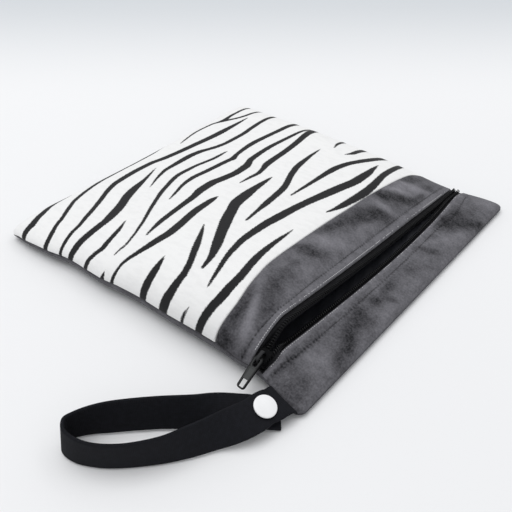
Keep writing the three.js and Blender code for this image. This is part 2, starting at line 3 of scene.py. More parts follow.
import bpy
import numpy as np
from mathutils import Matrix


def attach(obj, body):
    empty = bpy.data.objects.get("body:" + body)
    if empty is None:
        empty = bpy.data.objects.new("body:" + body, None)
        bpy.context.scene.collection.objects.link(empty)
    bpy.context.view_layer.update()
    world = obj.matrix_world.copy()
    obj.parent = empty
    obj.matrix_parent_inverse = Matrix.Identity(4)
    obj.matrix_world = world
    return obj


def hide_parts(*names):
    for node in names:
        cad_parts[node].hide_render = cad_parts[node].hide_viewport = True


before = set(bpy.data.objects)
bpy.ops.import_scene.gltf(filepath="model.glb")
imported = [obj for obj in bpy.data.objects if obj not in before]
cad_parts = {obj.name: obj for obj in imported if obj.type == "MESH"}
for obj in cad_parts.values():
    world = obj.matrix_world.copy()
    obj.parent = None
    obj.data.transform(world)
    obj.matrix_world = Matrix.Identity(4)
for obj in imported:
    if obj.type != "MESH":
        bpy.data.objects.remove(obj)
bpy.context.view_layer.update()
mm = 0.001
print("frame loaded,", len(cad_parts), "nodes")

# camera where the photograph was taken from: millimetres and degrees
shot = {"place": (-271.6, -217.5, 247.6), "yaw": 50.642, "pitch": 38.182, "lens": 48.42, "sensor": 36.0}


def addObject(name, data):
    # an object in the scene's own collection, at the origin
    item = bpy.data.objects.new(name, data)
    bpy.context.scene.collection.objects.link(item)
    return item


def makeCamera():
    # looks along +Y at yaw 0, turned towards +X by the yaw and down by the pitch
    data = bpy.data.cameras.new("camera")
    data.lens = shot["lens"]
    data.sensor_width = shot["sensor"]
    data.clip_start = 10 * mm
    camera = addObject("camera", data)
    camera.location = [value * mm for value in shot["place"]]
    camera.rotation_euler = (math.radians(90 - shot["pitch"]), 0, -math.radians(shot["yaw"]))
    bpy.context.scene.camera = camera


makeCamera()
print("camera set")


def smooth(low, high, at):
    # 0 below low, 1 above high, and the cubic 3q^2 - 2q^3 between
    q = np.clip((at - low) / (high - low), 0, 1)
    return q * q * (3 - 2 * q)


def alongTable(places, values, at):
    # monotone cubic: end slopes are the harmonic mean of the slopes beside a row, 0 where they disagree
    places, values, at = [np.asarray(item, float) for item in (places, values, at)]
    step = np.diff(places)
    rise = np.diff(values) / step
    product = rise[:-1] * rise[1:]
    total = np.where(product > 0, rise[:-1] + rise[1:], 1.0)
    slope = np.concatenate([rise[:1], np.where(product > 0, 2 * product / total, 0.0), rise[-1:]])
    i = np.clip(np.searchsorted(places, at, side="left") - 1, 0, len(places) - 2)
    q = np.clip((at - places[i]) / step[i], 0, 1)
    start = values[i] * (1 + 2 * q) * (1 - q) ** 2 + slope[i] * step[i] * q * (1 - q) ** 2
    return start + values[i + 1] * q * q * (3 - 2 * q) + slope[i + 1] * step[i] * q * q * (q - 1)


def readTable(rows, at):
    # every column after the first, as a function of the first
    columns = np.array(rows, float).T
    return [alongTable(columns[0], column, at) for column in columns[1:]]


def columnsAt(at, places, rows):
    # every column of the rows, straight between their places
    return np.stack([np.interp(at, places, column) for column in rows.T], -1)


def unit(vectors):
    # each vector over its own length
    return vectors / np.maximum(np.linalg.norm(vectors, axis=-1, keepdims=True), 1e-12)


def arcLength(points, axis):
    # running length of a polyline, 0 at its first point
    step = np.linalg.norm(np.diff(points, axis=axis), axis=-1)
    first = np.zeros_like(np.take(step, [0], axis=axis))
    return np.concatenate([first, np.cumsum(step, axis=axis)], axis=axis)


def gridFaces(rows, columns, start=0, around=False):
    # quads between neighbouring rows and columns, joined round where the columns close on themselves
    j, i = np.meshgrid(np.arange(rows - 1), np.arange(columns if around else columns - 1), indexing="ij")
    right = (i + 1) % columns
    quads = [j * columns + i, j * columns + right, (j + 1) * columns + right, (j + 1) * columns + i]
    return np.stack(quads, -1).reshape(-1, 4) + start


def outward(points, faces):
    # turns the faces round if the volume that they enclose comes out negative
    corners = points[np.array([face[:3] for face in faces])]
    ends = points[np.array([face[-1] for face in faces])]
    volume = np.einsum("ij,ij->", corners[:, 0], np.cross(corners[:, 1], corners[:, 2]))
    volume += np.einsum("ij,ij->", corners[:, 0], np.cross(corners[:, 2], ends))
    return faces if volume > 0 else [face[::-1] for face in faces]


def makePiece(name, points, faces, finish, values=None, flat=None):
    # mesh in metres from points in millimetres, with named values at its points and a flat map in metres
    mesh = bpy.data.meshes.new(name)
    faces = [list(face) for face in faces]
    mesh.from_pydata((points * mm).tolist(), [], outward(points, faces))
    mesh.polygons.foreach_set("use_smooth", np.ones(len(mesh.polygons), bool))
    for key, data in (values or {}).items():
        attribute = mesh.attributes.new(key, "FLOAT", "POINT")
        attribute.data.foreach_set("value", np.asarray(data, np.float32).ravel())
    if flat is not None:
        corner = np.zeros(len(mesh.loops), np.int32)
        mesh.loops.foreach_get("vertex_index", corner)
        layer = mesh.uv_layers.new(name="flat")
        layer.data.foreach_set("uv", (flat.reshape(-1, 2)[corner] * mm).astype(np.float32).ravel())
    mesh.update()
    mesh.materials.append(finishes[finish])
    return addObject(name, mesh)


def fasten(piece, node, body="root"):
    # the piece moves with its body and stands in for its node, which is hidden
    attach(piece, body)
    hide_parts(node)


# Materials


def newMaterial(name, sockets):
    # a principled shader, with these sockets the same everywhere
    material = bpy.data.materials.new(name)
    material.use_nodes = True
    tree = material.node_tree
    shader = tree.nodes["Principled BSDF"]
    for key, value in sockets.items():
        shader.inputs[key].default_value = value
    return material, tree, shader


def addNode(tree, kind, inputs=None, **settings):
    # one node, with its settings, and its inputs either linked or given a value
    node = tree.nodes.new(kind)
    for key, value in settings.items():
        setattr(node, key, value)
    for key, value in (inputs or {}).items():
        if isinstance(value, bpy.types.NodeSocket):
            tree.links.new(value, node.inputs[key])
        else:
            node.inputs[key].default_value = value
    return node


def addNoise(tree, scale, detail=3.0, stretch=None):
    # noise with features of about 1 / scale metres, stretched where a scale for each axis is given
    place = addNode(tree, "ShaderNodeTexCoord").outputs["Object"]
    if stretch is not None:
        place = addNode(tree, "ShaderNodeMapping", {"Vector": place, "Scale": stretch}).outputs["Vector"]
    inputs = {"Vector": place, "Scale": scale, "Detail": detail}
    return addNode(tree, "ShaderNodeTexNoise", inputs).outputs["Fac"]


def addMath(tree, first, second, kind="ADD"):
    # the sum of two values, or their product
    return addNode(tree, "ShaderNodeMath", {0: first, 1: second}, operation=kind).outputs[0]


def addMix(tree, factor, first, second):
    # the colour that goes from the first to the second as the factor goes from 0 to 1
    first, second = [(*value, 1.0) if isinstance(value, tuple) else value for value in (first, second)]
    return addNode(tree, "ShaderNodeMix", {0: factor, 6: first, 7: second}, data_type="RGBA").outputs[2]


def addRange(tree, value, low, high, toLow=0.0, toHigh=1.0):
    # the value's stretch from low to high spread over another stretch, easing at both ends
    inputs = {"Value": value, "From Min": low, "From Max": high, "To Min": toLow, "To Max": toHigh}
    return addNode(tree, "ShaderNodeMapRange", inputs, interpolation_type="SMOOTHSTEP").outputs["Result"]


def addSwing(tree, value, margin, swing):
    # from minus to plus the swing, as the value goes from the margin to 1 less the margin
    return addRange(tree, value, margin, 1 - margin, -swing, swing)


def addCarried(tree, name):
    # a value that the mesh carries at its points
    return addNode(tree, "ShaderNodeAttribute", attribute_name=name).outputs["Fac"]


def addBump(tree, shader, height, depth):
    # bump with that depth in millimetres
    inputs = {"Height": height, "Distance": depth * mm, "Strength": 1.0}
    tree.links.new(addNode(tree, "ShaderNodeBump", inputs).outputs["Normal"], shader.inputs["Normal"])


def paint(tree, shader, factor, first, second):
    # base colour that goes from the first to the second with the factor
    tree.links.new(addMix(tree, factor, first, second), shader.inputs["Base Color"])


# scales are features to the metre, depths are in millimetres
pile = {"grains": 1700.0, "strands": 420.0, "lie": (1.0, 0.35, 1.0), "strandShare": 1.4,
        "roughness": 0.95, "sheenRoughness": 0.45, "specular": 0.12}
stripedPlush = {"white": (0.815, 0.815, 0.812), "shade": (0.78, 0.78, 0.778),
                "black": (0.017, 0.017, 0.018), "softEdge": 0.34, "ragged": 0.28, "depth": 0.08,
                "sheen": 0.12}
charcoalPlush = {"dark": (0.012, 0.012, 0.014), "light": (0.224, 0.220, 0.241), "depth": 0.16,
                 "sheen": 0.10, "clouds": 170.0, "specks": 950.0, "cloudSwing": 0.2, "speckSwing": 0.2,
                 "brushSwing": 0.13}
woven = {"specular": 0.2, "crownHighlight": 0.5, "lint": 520.0, "lintFrom": (0.3, 0.8), "lintShare": 0.5}
enamel = {"flecks": 1400.0, "fleckFrom": (0.62, 0.75), "fleckShare": 0.12, "grains": 900.0, "depth": 0.02}
moulded = {"flow": 260.0, "flowFrom": (0.2, 0.8), "varied": 0.06, "grains": 1200.0, "depth": 0.01}


def makePile(name, plush):
    # short nap: fine grains and longer brushed strands along the run of the cloth, added as one bump
    sockets = {"Roughness": pile["roughness"], "Sheen Weight": plush["sheen"],
               "Sheen Roughness": pile["sheenRoughness"], "Specular IOR Level": pile["specular"]}
    material, tree, shader = newMaterial(name, sockets)
    grains = addNoise(tree, pile["grains"], 2.0)
    strands = addNoise(tree, pile["strands"], 3.0, pile["lie"])
    height = addMath(tree, grains, addMath(tree, strands, pile["strandShare"], "MULTIPLY"))
    addBump(tree, shader, height, plush["depth"])
    return material, tree, shader, grains, strands


def makeStripedPlush():
    # black where the stripe value is below 0, with the edge roughened by the nap
    material, tree, shader, grains, strands = makePile("striped_plush", stripedPlush)
    ragged = addSwing(tree, grains, 0.25, stripedPlush["ragged"])
    value = addMath(tree, addCarried(tree, "stripe"), ragged)
    inked = addRange(tree, value, -stripedPlush["softEdge"], stripedPlush["softEdge"])
    white = addMix(tree, addRange(tree, strands, 0.3, 0.6), stripedPlush["shade"], stripedPlush["white"])
    paint(tree, shader, inked, stripedPlush["black"], white)
    return material


def makeCharcoalPlush():
    # the nap value, which carries painted shade and highlight as well as the nap's own tone, darkens or
    # lightens the cloth, with cloudy brush marks and specks on top
    material, tree, shader, _, strands = makePile("charcoal_plush", charcoalPlush)
    clouds = addSwing(tree, addNoise(tree, charcoalPlush["clouds"], 4.0), 0.2, charcoalPlush["cloudSwing"])
    specks = addSwing(tree, addNoise(tree, charcoalPlush["specks"], 2.0), 0.25, charcoalPlush["speckSwing"])
    brushed = addSwing(tree, strands, 0.2, charcoalPlush["brushSwing"])
    value = addMath(tree, addMath(tree, addCarried(tree, "napAndShade"), clouds), addMath(tree, specks, brushed))
    share = addNode(tree, "ShaderNodeMapRange", {"Value": value, "From Min": -1.0, "From Max": 1.0})
    paint(tree, shader, share.outputs["Result"], charcoalPlush["dark"], charcoalPlush["light"])
    return material


def makeCoated(name, dark, light, roughness, creases, depth):
    # coated lining: almost black, a little gloss, fine creases
    material, tree, shader = newMaterial(name, {"Roughness": roughness})
    height = addNoise(tree, creases, 4.0)
    paint(tree, shader, height, dark, light)
    addBump(tree, shader, height, depth)
    return material


def makeWoven(name, dark, light, roughness, threads, depth):
    # product of two thread waves along the flat map, with a painted highlight on the threads' crowns, and a
    # little lint
    sockets = {"Roughness": roughness, "Specular IOR Level": woven["specular"]}
    material, tree, shader = newMaterial(name, sockets)
    place = addNode(tree, "ShaderNodeTexCoord").outputs["UV"]
    waves = [addNode(tree, "ShaderNodeTexWave", {"Vector": place, "Scale": scale}, bands_direction=way)
             for scale, way in zip(threads, "XY")]
    weave = addMath(tree, waves[0].outputs["Fac"], waves[1].outputs["Fac"], "MULTIPLY")
    # painted highlight: paler on the threads' crowns
    paintedCrowns = addMath(tree, weave, woven["crownHighlight"], "MULTIPLY")
    lint = addRange(tree, addNoise(tree, woven["lint"]), *woven["lintFrom"], 0.0, woven["lintShare"])
    paint(tree, shader, addMath(tree, paintedCrowns, lint), dark, light)
    addBump(tree, shader, weave, depth)
    return material


def makeEnamel(name, dark, light, roughness, gloss):
    # painted metal, worn paler in fine flecks; the recess value makes it paler: the bare flat on the pull,
    # a painted highlight on the slider's bail
    material, tree, shader = newMaterial(name, {"Roughness": roughness, "Specular IOR Level": gloss})
    noise = addNoise(tree, enamel["flecks"], 4.0)
    flecks = addRange(tree, noise, *enamel["fleckFrom"], 0.0, enamel["fleckShare"])
    paint(tree, shader, addMath(tree, addCarried(tree, "recess"), flecks), dark, light)
    addBump(tree, shader, addNoise(tree, enamel["grains"]), enamel["depth"])
    return material


def makeMoulded(name, dark, light, roughness, gloss=0.5):
    # moulded plastic: faint flow marks in colour and gloss
    material, tree, shader = newMaterial(name, {"Specular IOR Level": gloss})
    flow = addNoise(tree, moulded["flow"])
    paint(tree, shader, flow, dark, light)
    least, most = roughness - moulded["varied"], roughness + moulded["varied"]
    tree.links.new(addRange(tree, flow, *moulded["flowFrom"], least, most), shader.inputs["Roughness"])
    addBump(tree, shader, addNoise(tree, moulded["grains"], 2.0), moulded["depth"])
    return material


# dark and light colour and roughness; then creases and depth, threads and depth, or gloss
finishes = {
    "striped": makeStripedPlush(),
    "charcoal": makeCharcoalPlush(),
    "lining": makeCoated("lining_cloth", (0.0075, 0.0082, 0.0115), (0.0200, 0.0215, 0.0290), 0.5,
                         160.0, 0.25),
    "tape": makeWoven("zip_tape_cloth", (0.003, 0.003, 0.004), (0.012, 0.012, 0.014), 0.8,
                      (260.0, 330.0), 0.12),
    "strap": makeWoven("strap_cloth", (0.0036, 0.0039, 0.0058), (0.0084, 0.0090, 0.0132), 0.85,
                       (420.0, 420.0), 0.05),
    "coil": makeMoulded("coil_nylon", (0.003, 0.003, 0.0035), (0.009, 0.009, 0.0105), 0.32, 0.2),
    "slider": makeEnamel("slider_enamel", (0.0025, 0.0025, 0.003), (0.10, 0.10, 0.105), 0.55, 0.04),
    "pull": makeEnamel("pull_enamel", (0.0035, 0.0035, 0.004), (0.062, 0.064, 0.064), 0.48, 0.12),
    "snap": makeMoulded("snap_resin", (0.80, 0.80, 0.81), (0.86, 0.86, 0.87), 0.34),
    "thread": makeMoulded("stitch_thread", (0.010, 0.010, 0.011), (0.030, 0.030, 0.032), 0.8),
    "edgeThread": makeMoulded("lip_thread", (0.30, 0.30, 0.305), (0.85, 0.85, 0.86), 0.8),
}
print("materials made:", len(finishes))

# The pouch's sections in millimetres: the solids' own, with the left side seam raised and pushed out
pouch = {"wall": 2.0, "seamGap": 0.3, "halfWidth": 102, "cornerRadius": 4.5, "bottomY": 107.0,
         "topY": -109.0, "cornerFade": 24.0, "backRoll": 11.0, "backEndRoll": 7.0, "backBow": 0.1,
         "bandStart": 0.82, "bandGap": 0.0008, "strayReach": 0.16, "bottomTurn": 0.05, "topTurn": 0.12,
         "bulgeFrom": 0.84, "edgeRound": 0.85, "edgePull": 0.92}
# y, half width, left and right seam heights
outlineRows = [
    (-109, 108.0, 2.4, 2.4), (-97, 106.0, 4.0, 3.6), (-83.6, 103.2, 7.0, 4.4), (-75, 102.4, 8.3, 4.6),
    (-52, 101.5, 10.3, 5.2), (-15, 101.5, 10.2, 5.5), (30, 102.0, 9.2, 5.5), (70, 103.5, 7.7, 5.0),
    (99, 105.5, 5.6, 4.5), (107, 107.0, 4.0, 4.0),
]
# y, and how far the filling pushes the left side seam out
bulgeRows = [
    (-84, 0.0), (-76, 0.4), (-67, 1.7), (-45, 1.8), (-18, 2.4), (-3, 2.1), (13, 2.6), (27, 3.8),
    (38, 3.4), (54, 2.5), (72, 4.2), (85, 4.3), (93, 3.8), (101, 2.4), (107, 0.8),
]
# run, y, bow, lean, left and right crown, sag, left and right roll-off, roundness
frontRows = [
    (0.00, 107.0, -3, 0, 4.2, 4.2, 0, 25, 16, 2), (0.02, 105.5, -3, 0, 9.0, 8.0, 0, 25, 16, 2),
    (0.06, 99.0, -2, 0, 13.5, 12.0, 0, 26, 17, 2), (0.20, 70.0, -1, 0, 18.0, 15.0, 0, 28, 19, 2),
    (0.40, 30.0, 0, 0, 24.0, 18.0, 0, 30, 24, 2), (0.62, -15.0, 0, 0, 30.0, 19.0, 0, 32, 36, 2),
    (0.82, -52.0, 0, 0, 32.0, 16.5, 0, 32, 50, 1.8), (1.00, -75.0, 0, 0, 27.0, 8.4, 3, 25, 60, 1.25),
]
topRows = [
    (0.00, -83.6, -5.5, 0.35, 12.1, 7.9, 0, 20, 20, 1.6),
    (0.50, -97.0, -1.5, 0, 8.0, 6.9, 0, 16, 16, 1.8), (0.88, -106.6, 0, 0, 5.4, 5.0, 0, 12, 12, 2),
    (1.00, -109.0, 0, 0, 2.6, 2.6, 0, 12, 12, 2),
]
# place across, and how far the band's seam strays along the run from a straight line
seamRows = [
    (-103, 0.012), (-90, 0.0185), (-75, 0.004), (-55, -0.019), (-40, -0.0227), (-15, -0.0227),
    (20, -0.018), (45, -0.0145), (60, -0.0067), (88, -0.004), (96, 0.01), (103, 0.03),
]
# how far the top band's lip is drawn to the zip, the share of it by the slider, and where it comes and goes
lipDraw = {"most": 2.6, "leftShare": 0.45, "left": (-96, -86), "right": (92, 106), "fade": 0.5}


def rollOff(distance, reach, roundness=2.0):
    # 0 at the seam and 1 from the reach inward, a quarter ellipse where roundness is 2
    q = 1 - np.clip(distance / reach, 0, 1)
    return (1 - q ** roundness) ** (1 / roundness)


def cornerCut(rowY, s, halfWidth):
    # how far the plan's round corners pull a row back, fading away from the two ends
    radius, fade = pouch["cornerRadius"], pouch["cornerFade"]
    past = np.maximum(0, np.abs(s) * halfWidth - (halfWidth - radius))
    cut = radius - np.sqrt(np.maximum(0, radius ** 2 - past ** 2))
    nearBottom = np.maximum(0, 1 - (pouch["bottomY"] - rowY) / fade)
    nearTop = np.maximum(0, 1 - (rowY - pouch["topY"]) / fade)
    return cut * (nearTop - nearBottom)


def acrossAt(s, y, halfWidth):
    # place across: even shares of the half width, with the left seam's bulge in the last stretch beside it
    return s * halfWidth - readTable(bulgeRows, y)[0] * smooth(pouch["bulgeFrom"], 1.0, -s)


def crownFace(rows, s, run, inset, turn, shift, fold):
    # a dome over each row: seam height at the sides, crown height inside the roll-off, folds added on top;
    # the inner face is the same dome made smaller by the inset, stepped in along Y where the wall turns
    y, bow, lean, crownLeft, crownRight, sag, rollLeft, rollRight, roundness = readTable(rows, run)
    halfWidth, seamLeft, seamRight = readTable(outlineRows, y)
    side = (s + 1) / 2
    seam = seamLeft + (seamRight - seamLeft) * side + pouch["seamGap"] / 2
    crown = crownLeft + (crownRight - crownLeft) * side - sag * (1 - s * s)
    reach = np.where(s < 0, rollLeft, rollRight) - inset
    x = acrossAt(s, y, halfWidth - inset)
    along = y + bow * (1 - s * s) * (1 + lean * s) + cornerCut(y, s, halfWidth) + shift * inset * turn
    height = np.maximum(crown - inset * (1 - turn) + fold, seam * turn)
    z = seam + (height - seam) * rollOff((1 - np.abs(s)) * (halfWidth - inset), reach, roundness)
    return np.stack(np.broadcast_arrays(x, along, z), -1)


def frontFace(s, run, inset, fold=0.0):
    # the dome, turned down at the bottom seam
    return crownFace(frontRows, s, run, inset, np.maximum(0, 1 - run / pouch["bottomTurn"]), -1, fold)


def topFace(s, run, inset, fold=0.0):
    # the dome, turned down at the top edge, with its lip drawn towards the zip between the zip's two ends
    points = crownFace(topRows, s, run, inset, np.maximum(0, 1 - (1 - run) / pouch["topTurn"]), 1, fold)
    x, least = points[..., 0], lipDraw["leftShare"]
    drawn = (least + (1 - least) * smooth(*lipDraw["left"], x)) * (1 - smooth(*lipDraw["right"], x))
    points[..., 1] += lipDraw["most"] * drawn * np.maximum(0, 1 - run / lipDraw["fade"])
    return points


def strayed(s, run):
    # the run with the band's seam strayed: full at the seam, gone well before the lip and the middle
    near = np.maximum(0, 1 - np.abs(run - pouch["bandStart"]) / pouch["strayReach"])
    return run + near * readTable(seamRows, s * pouch["halfWidth"])[0]


def backFace(s, run, inset):
    # flat on the table, rolled up to the seam at the sides and the two ends
    rowY = pouch["bottomY"] + (pouch["topY"] - pouch["bottomY"]) * run
    halfWidth, seamLeft, seamRight = readTable(outlineRows, rowY)
    seam = seamLeft + (seamRight - seamLeft) * (s + 1) / 2 - pouch["seamGap"] / 2
    toEnd = np.minimum(pouch["bottomY"] - rowY, rowY - pouch["topY"])
    sideLift = 1 - rollOff((1 - np.abs(s)) * (halfWidth - inset), pouch["backRoll"] - inset)
    endLift = 1 - rollOff(toEnd, pouch["backEndRoll"])
    lift = sideLift + endLift - sideLift * endLift
    endStep = inset * np.maximum(0, 1 - toEnd / pouch["backEndRoll"]) * np.where(run < 0.5, -1, 1)
    bow = frontRows[0][2] * (1 - np.minimum(1, run / pouch["backBow"]))
    y = rowY + bow * (1 - s * s) + cornerCut(rowY, s, halfWidth) + endStep
    x = acrossAt(s, rowY, halfWidth - inset)
    return np.stack(np.broadcast_arrays(x, y, inset + (seam - inset) * lift), -1)


def crossPlaces(count):
    # sine spacing from side to side, so that the steep rolls at the seams get even steps
    return np.sin(np.linspace(-0.5, 0.5, count) * np.pi)[None, :]


def runPlaces(low, high, count, edge):
    # even steps, with a few closer ones within the edge at both ends for the rounded edges
    near = edge * (1 - np.cos(np.linspace(0, 0.5, 5) * np.pi))
    even = np.linspace(low + edge, high - edge, count)[1:-1]
    return np.concatenate([low + near, even, high - near[::-1]])[:, None]


def edgeShare(outer):
    # 1 at the sheet's border and 0 from the rounding inward: the drop of a quarter circle
    share = 0.0
    for length, last in ((arcLength(outer, 1), np.s_[:, -1:]), (arcLength(outer, 0), np.s_[-1:])):
        q = 1 - np.clip(np.minimum(length, length[last] - length) / pouch["edgeRound"], 0, 1)
        share = np.maximum(share, 1 - np.sqrt(np.maximum(0, 1 - q * q)))
    return share[..., None]


def bothFaces(values):
    # the same values on the outer and the inner face
    return np.concatenate([values.ravel(), values.ravel()])


def flatMap(outer):
    # place on the cloth as it was cut: length along the row from its middle, and along the middle column
    middle = np.s_[:, outer.shape[1] // 2, None]
    across, along = arcLength(outer, 1), arcLength(outer, 0)
    return np.stack(np.broadcast_arrays(across - across[middle], along[middle]), -1)


def makeSheet(name, node, finish, outer, inner, values=None, place=None):
    # closed sheet between two grids, its border rounded towards the middle of the wall; the outer grid's
    # longest row is the cut's width, and its middle column the cut's length
    middle = (outer + inner) / 2
    share = edgeShare(outer) * pouch["edgePull"]
    points = np.concatenate([outer + (middle - outer) * share, inner + (middle - inner) * share])
    rows, columns = outer.shape[:2]
    count = rows * columns
    ids = np.arange(count).reshape(rows, columns)
    faces = [gridFaces(rows, columns), gridFaces(rows, columns, count)[:, ::-1]]
    for border in (ids[0], ids[:, -1], ids[-1][::-1], ids[::-1, 0]):
        faces.append(np.stack([border[1:], border[:-1], border[:-1] + count, border[1:] + count], -1))
    flat = None if place is None else np.concatenate([place.reshape(-1, 2)] * 2)
    piece = makePiece(name, points.reshape(-1, 3), np.concatenate(faces), finish, values, flat)
    fasten(piece, node)


# Striped front panel
frontPanel = {"across": 257, "rows": 150, "turnRows": 26, "turnSpacing": 1.7, "pucker": 0.22,
              "wave": 0.15, "edge": 0.006, "seamDip": 0.5, "dipFrom": 0.03, "seamDraw": 1.8,
              "drawnPast": 1.6, "drawnFrom": 0.88}
stripes = {"shift": 0.5, "grow": 0.5, "step": 0.5, "pastEnd": 0.6, "clear": 9.0}
# each stripe is charted on the flat cloth: place across and along, and its width
stripeChart = [
    [(-118, 150.7, 4), (-100, 153.3, 4.6), (-88, 155.1, 4.9), (-78, 155, 4.4), (-60, 151.4, 4.1),
     (-50, 149.8, 3.5), (-38, 149, 2.6), (-23.5, 148.8, 0.2)],
    [(-118, 139.2, 1.8), (-106, 141, 1.3), (-102.5, 142.1, 0.2)],
    [(-88, 145, 0.8), (-80, 143.2, 1.9), (-60, 136.8, 3.2), (-45, 134.1, 4.2), (-30, 133.8, 5),
     (-20, 134.6, 5.6), (0, 136.6, 5.1), (30, 141.3, 6.2), (50, 144.4, 5.8), (60, 144.4, 4.9),
     (70, 143.4, 2.4), (77.5, 142.4, 0.2)],
    [(5, 152, 0.8), (10, 153.2, 2), (20, 154.4, 3.9), (40, 155.2, 5.1), (50, 154.7, 4.8),
     (70, 151.8, 3.9), (90, 150.2, 3.7), (112, 147.6, 3.4)],
    [(-118, 126, 5), (-105, 127.4, 5.6), (-98, 128.5, 4.7), (-90, 128.9, 3.8), (-84, 127.5, 3.6),
     (-70, 120.1, 4.2), (-60, 114, 3), (-49.5, 107, 0.2)],
    [(-80.5, 134.6, 1.4), (-75, 133.5, 2.6), (-60, 126.2, 6.2), (-50, 120.3, 6.9), (-40, 114.7, 7.6),
     (-30, 109.8, 7.2), (-20, 105.4, 7.4), (-10, 103.9, 6.9), (0, 102.7, 4.9), (10, 102.2, 3),
     (18, 101.8, 0.4)],
    [(-32, 123, 1.2), (-20, 121.3, 2.2), (-10, 119.9, 3.9), (10, 116.5, 4.2), (30, 108.6, 4.2),
     (40, 105.8, 4), (50, 104.5, 2.9), (60, 103.5, 1.7), (68, 103.1, 0.2)],
    [(-118, 111.8, 4), (-100, 112.6, 4.5), (-94, 112.5, 4), (-88, 111.6, 2.2), (-84, 110.8, 0.2)],
    [(6, 125.3, 0.8), (20, 125.4, 2.1), (40, 125.6, 3.4), (50, 126, 4.3), (60, 127.9, 4.2),
     (70, 131.6, 4.2), (80, 134.7, 4.2), (90, 136.6, 4), (100, 137.6, 3.6), (112, 138, 3.4)],
    [(72.5, 120, 0.6), (79, 122.3, 3.2), (90, 122.2, 3.6), (112, 121, 3.4)],
    [(76.5, 108.6, 0.4), (84, 106.5, 1.8), (92, 105.6, 2.4), (112, 104, 2.2)],
    [(-118, 86.4, 3.2), (-100, 90, 1.7), (-90, 94.3, 2.8), (-80, 97.1, 4.4), (-70, 98, 5.2),
     (-60, 96.5, 5.3), (-40, 92.3, 5), (-27, 91.4, 3.8), (-20.5, 91.2, 0.3)],
    [(-95.5, 82.5, 0.4), (-88, 83.7, 1.1), (-80, 82, 1.2), (-70, 77.4, 1.8), (-50, 65.8, 2.5),
     (-30, 55.8, 3), (-10, 49.9, 3.2), (0, 50.3, 2.7), (20, 53.7, 2.3), (29.5, 53.8, 0.6)],
    [(-75.5, 88.2, 0.8), (-60, 83.9, 3.2), (-40, 80.8, 3.8), (-30, 79.4, 4.4), (-20, 77, 5.8),
     (-10, 76.4, 6), (0, 78.2, 5.6), (10, 79.5, 5.2), (20, 78.9, 5.4), (30, 75.3, 4.2), (50, 74, 3.4),
     (70, 75.3, 2.8), (82, 76.4, 2), (93, 77.5, 1.2)],
    [(0.5, 90.6, 0.6), (10, 91, 2.2), (16, 91.6, 2.7), (22, 90.5, 3.2), (30, 88.1, 4.6), (50, 86.6, 4.2),
     (60, 85.5, 4.2), (70, 84, 4.4), (80, 82.3, 4.6), (90, 81, 4.8), (112, 78.5, 5)],
    [(-118, 65.6, 2.7), (-105, 67.2, 2.4), (-100, 69.5, 2.6), (-94, 72.4, 3), (-88, 71.7, 2.8),
     (-80, 70, 2.4), (-71, 65.9, 0.2)],
    [(-118, 54, 2.2), (-100, 55.6, 4.1), (-90, 56.6, 4.5), (-80, 56.3, 4.7), (-70, 53.2, 6.2),
     (-60, 48.9, 6.6), (-50, 43.2, 6.6), (-40, 39.2, 5.4), (-30, 36.1, 3), (-13, 29.5, 0.2)],
    [(-118, 46.7, 2.4), (-100, 45.8, 2.2), (-90, 45.2, 2.2), (-80, 41.6, 2.9), (-60, 31.3, 3.3),
     (-50, 25.9, 3.6), (-40, 22.5, 4), (-20, 20.8, 4.2), (-10, 21.2, 4), (0, 23.8, 4), (20, 26.8, 4.2),
     (50, 29.2, 4.8), (60, 29.3, 3.8), (70, 29.5, 2.4), (81, 29.6, 0.2)],
    [(-118, 33.1, 3.4), (-100, 32.6, 2.8), (-90, 30.2, 2.4), (-80, 24.6, 2.8), (-70, 18.5, 2.6),
     (-50, 12, 2.4), (-40, 10.3, 2.6), (-20, 9.5, 2.8), (0, 9.6, 2.8), (14, 8.8, 0.3)],
    [(-118, 11.5, 3), (-105, 14.2, 3.4), (-100, 15.3, 4.2), (-90, 13.4, 3.8), (-84, 11.3, 3.2),
     (-77, 9.6, 2.2), (-70, 9.1, 1.2), (-66, 9, 0.3)],
    [(-39.5, 69.1, 0.4), (-30, 65.8, 1.8), (-20, 62.3, 2.6), (-10, 61, 3.4), (0, 62, 3.6),
     (20, 63.9, 3.6), (23, 64.6, 4.2), (30, 62.6, 3.1), (50, 60.5, 4), (60, 61.2, 3.8), (70, 62.3, 3.6),
     (80, 63.4, 3.6), (90, 64.2, 3.6), (112, 64.6, 3)],
    [(-34, 46.5, 0.4), (-20, 39.9, 2), (-10, 37, 2.9), (10, 36.6, 4.4), (20, 38.2, 4.2), (30, 42.3, 3.6),
     (40, 44.4, 3.2), (55, 44.6, 3.3), (70, 43.2, 3.2), (80, 42.6, 3), (90, 42.8, 2.8), (112, 43.2, 2.6)],
    [(22.5, 17, 0.3), (30, 15, 1.2), (45, 12.4, 1.5), (58, 13.4, 1.6), (68, 18.2, 3), (76, 23, 2.2),
     (84, 26, 2), (92, 27.4, 1.8), (112, 29, 1.6)],
    [(62, 15, 1.2), (70, 16.8, 3), (79, 16, 2.4), (88, 16.4, 2), (112, 16.8, 1.8)],
    [(-56, 3.2, 0.4), (-40, 2.4, 2), (-15, 2.2, 2.4), (8, 3, 0.4)],
    [(30, 3.5, 0.4), (50, 2.6, 2.2), (80, 2.4, 2.4), (112, 4, 2)],
    [(-118, 78.2, 5), (-111, 79.6, 3), (-106, 80.8, 0.2)],
]


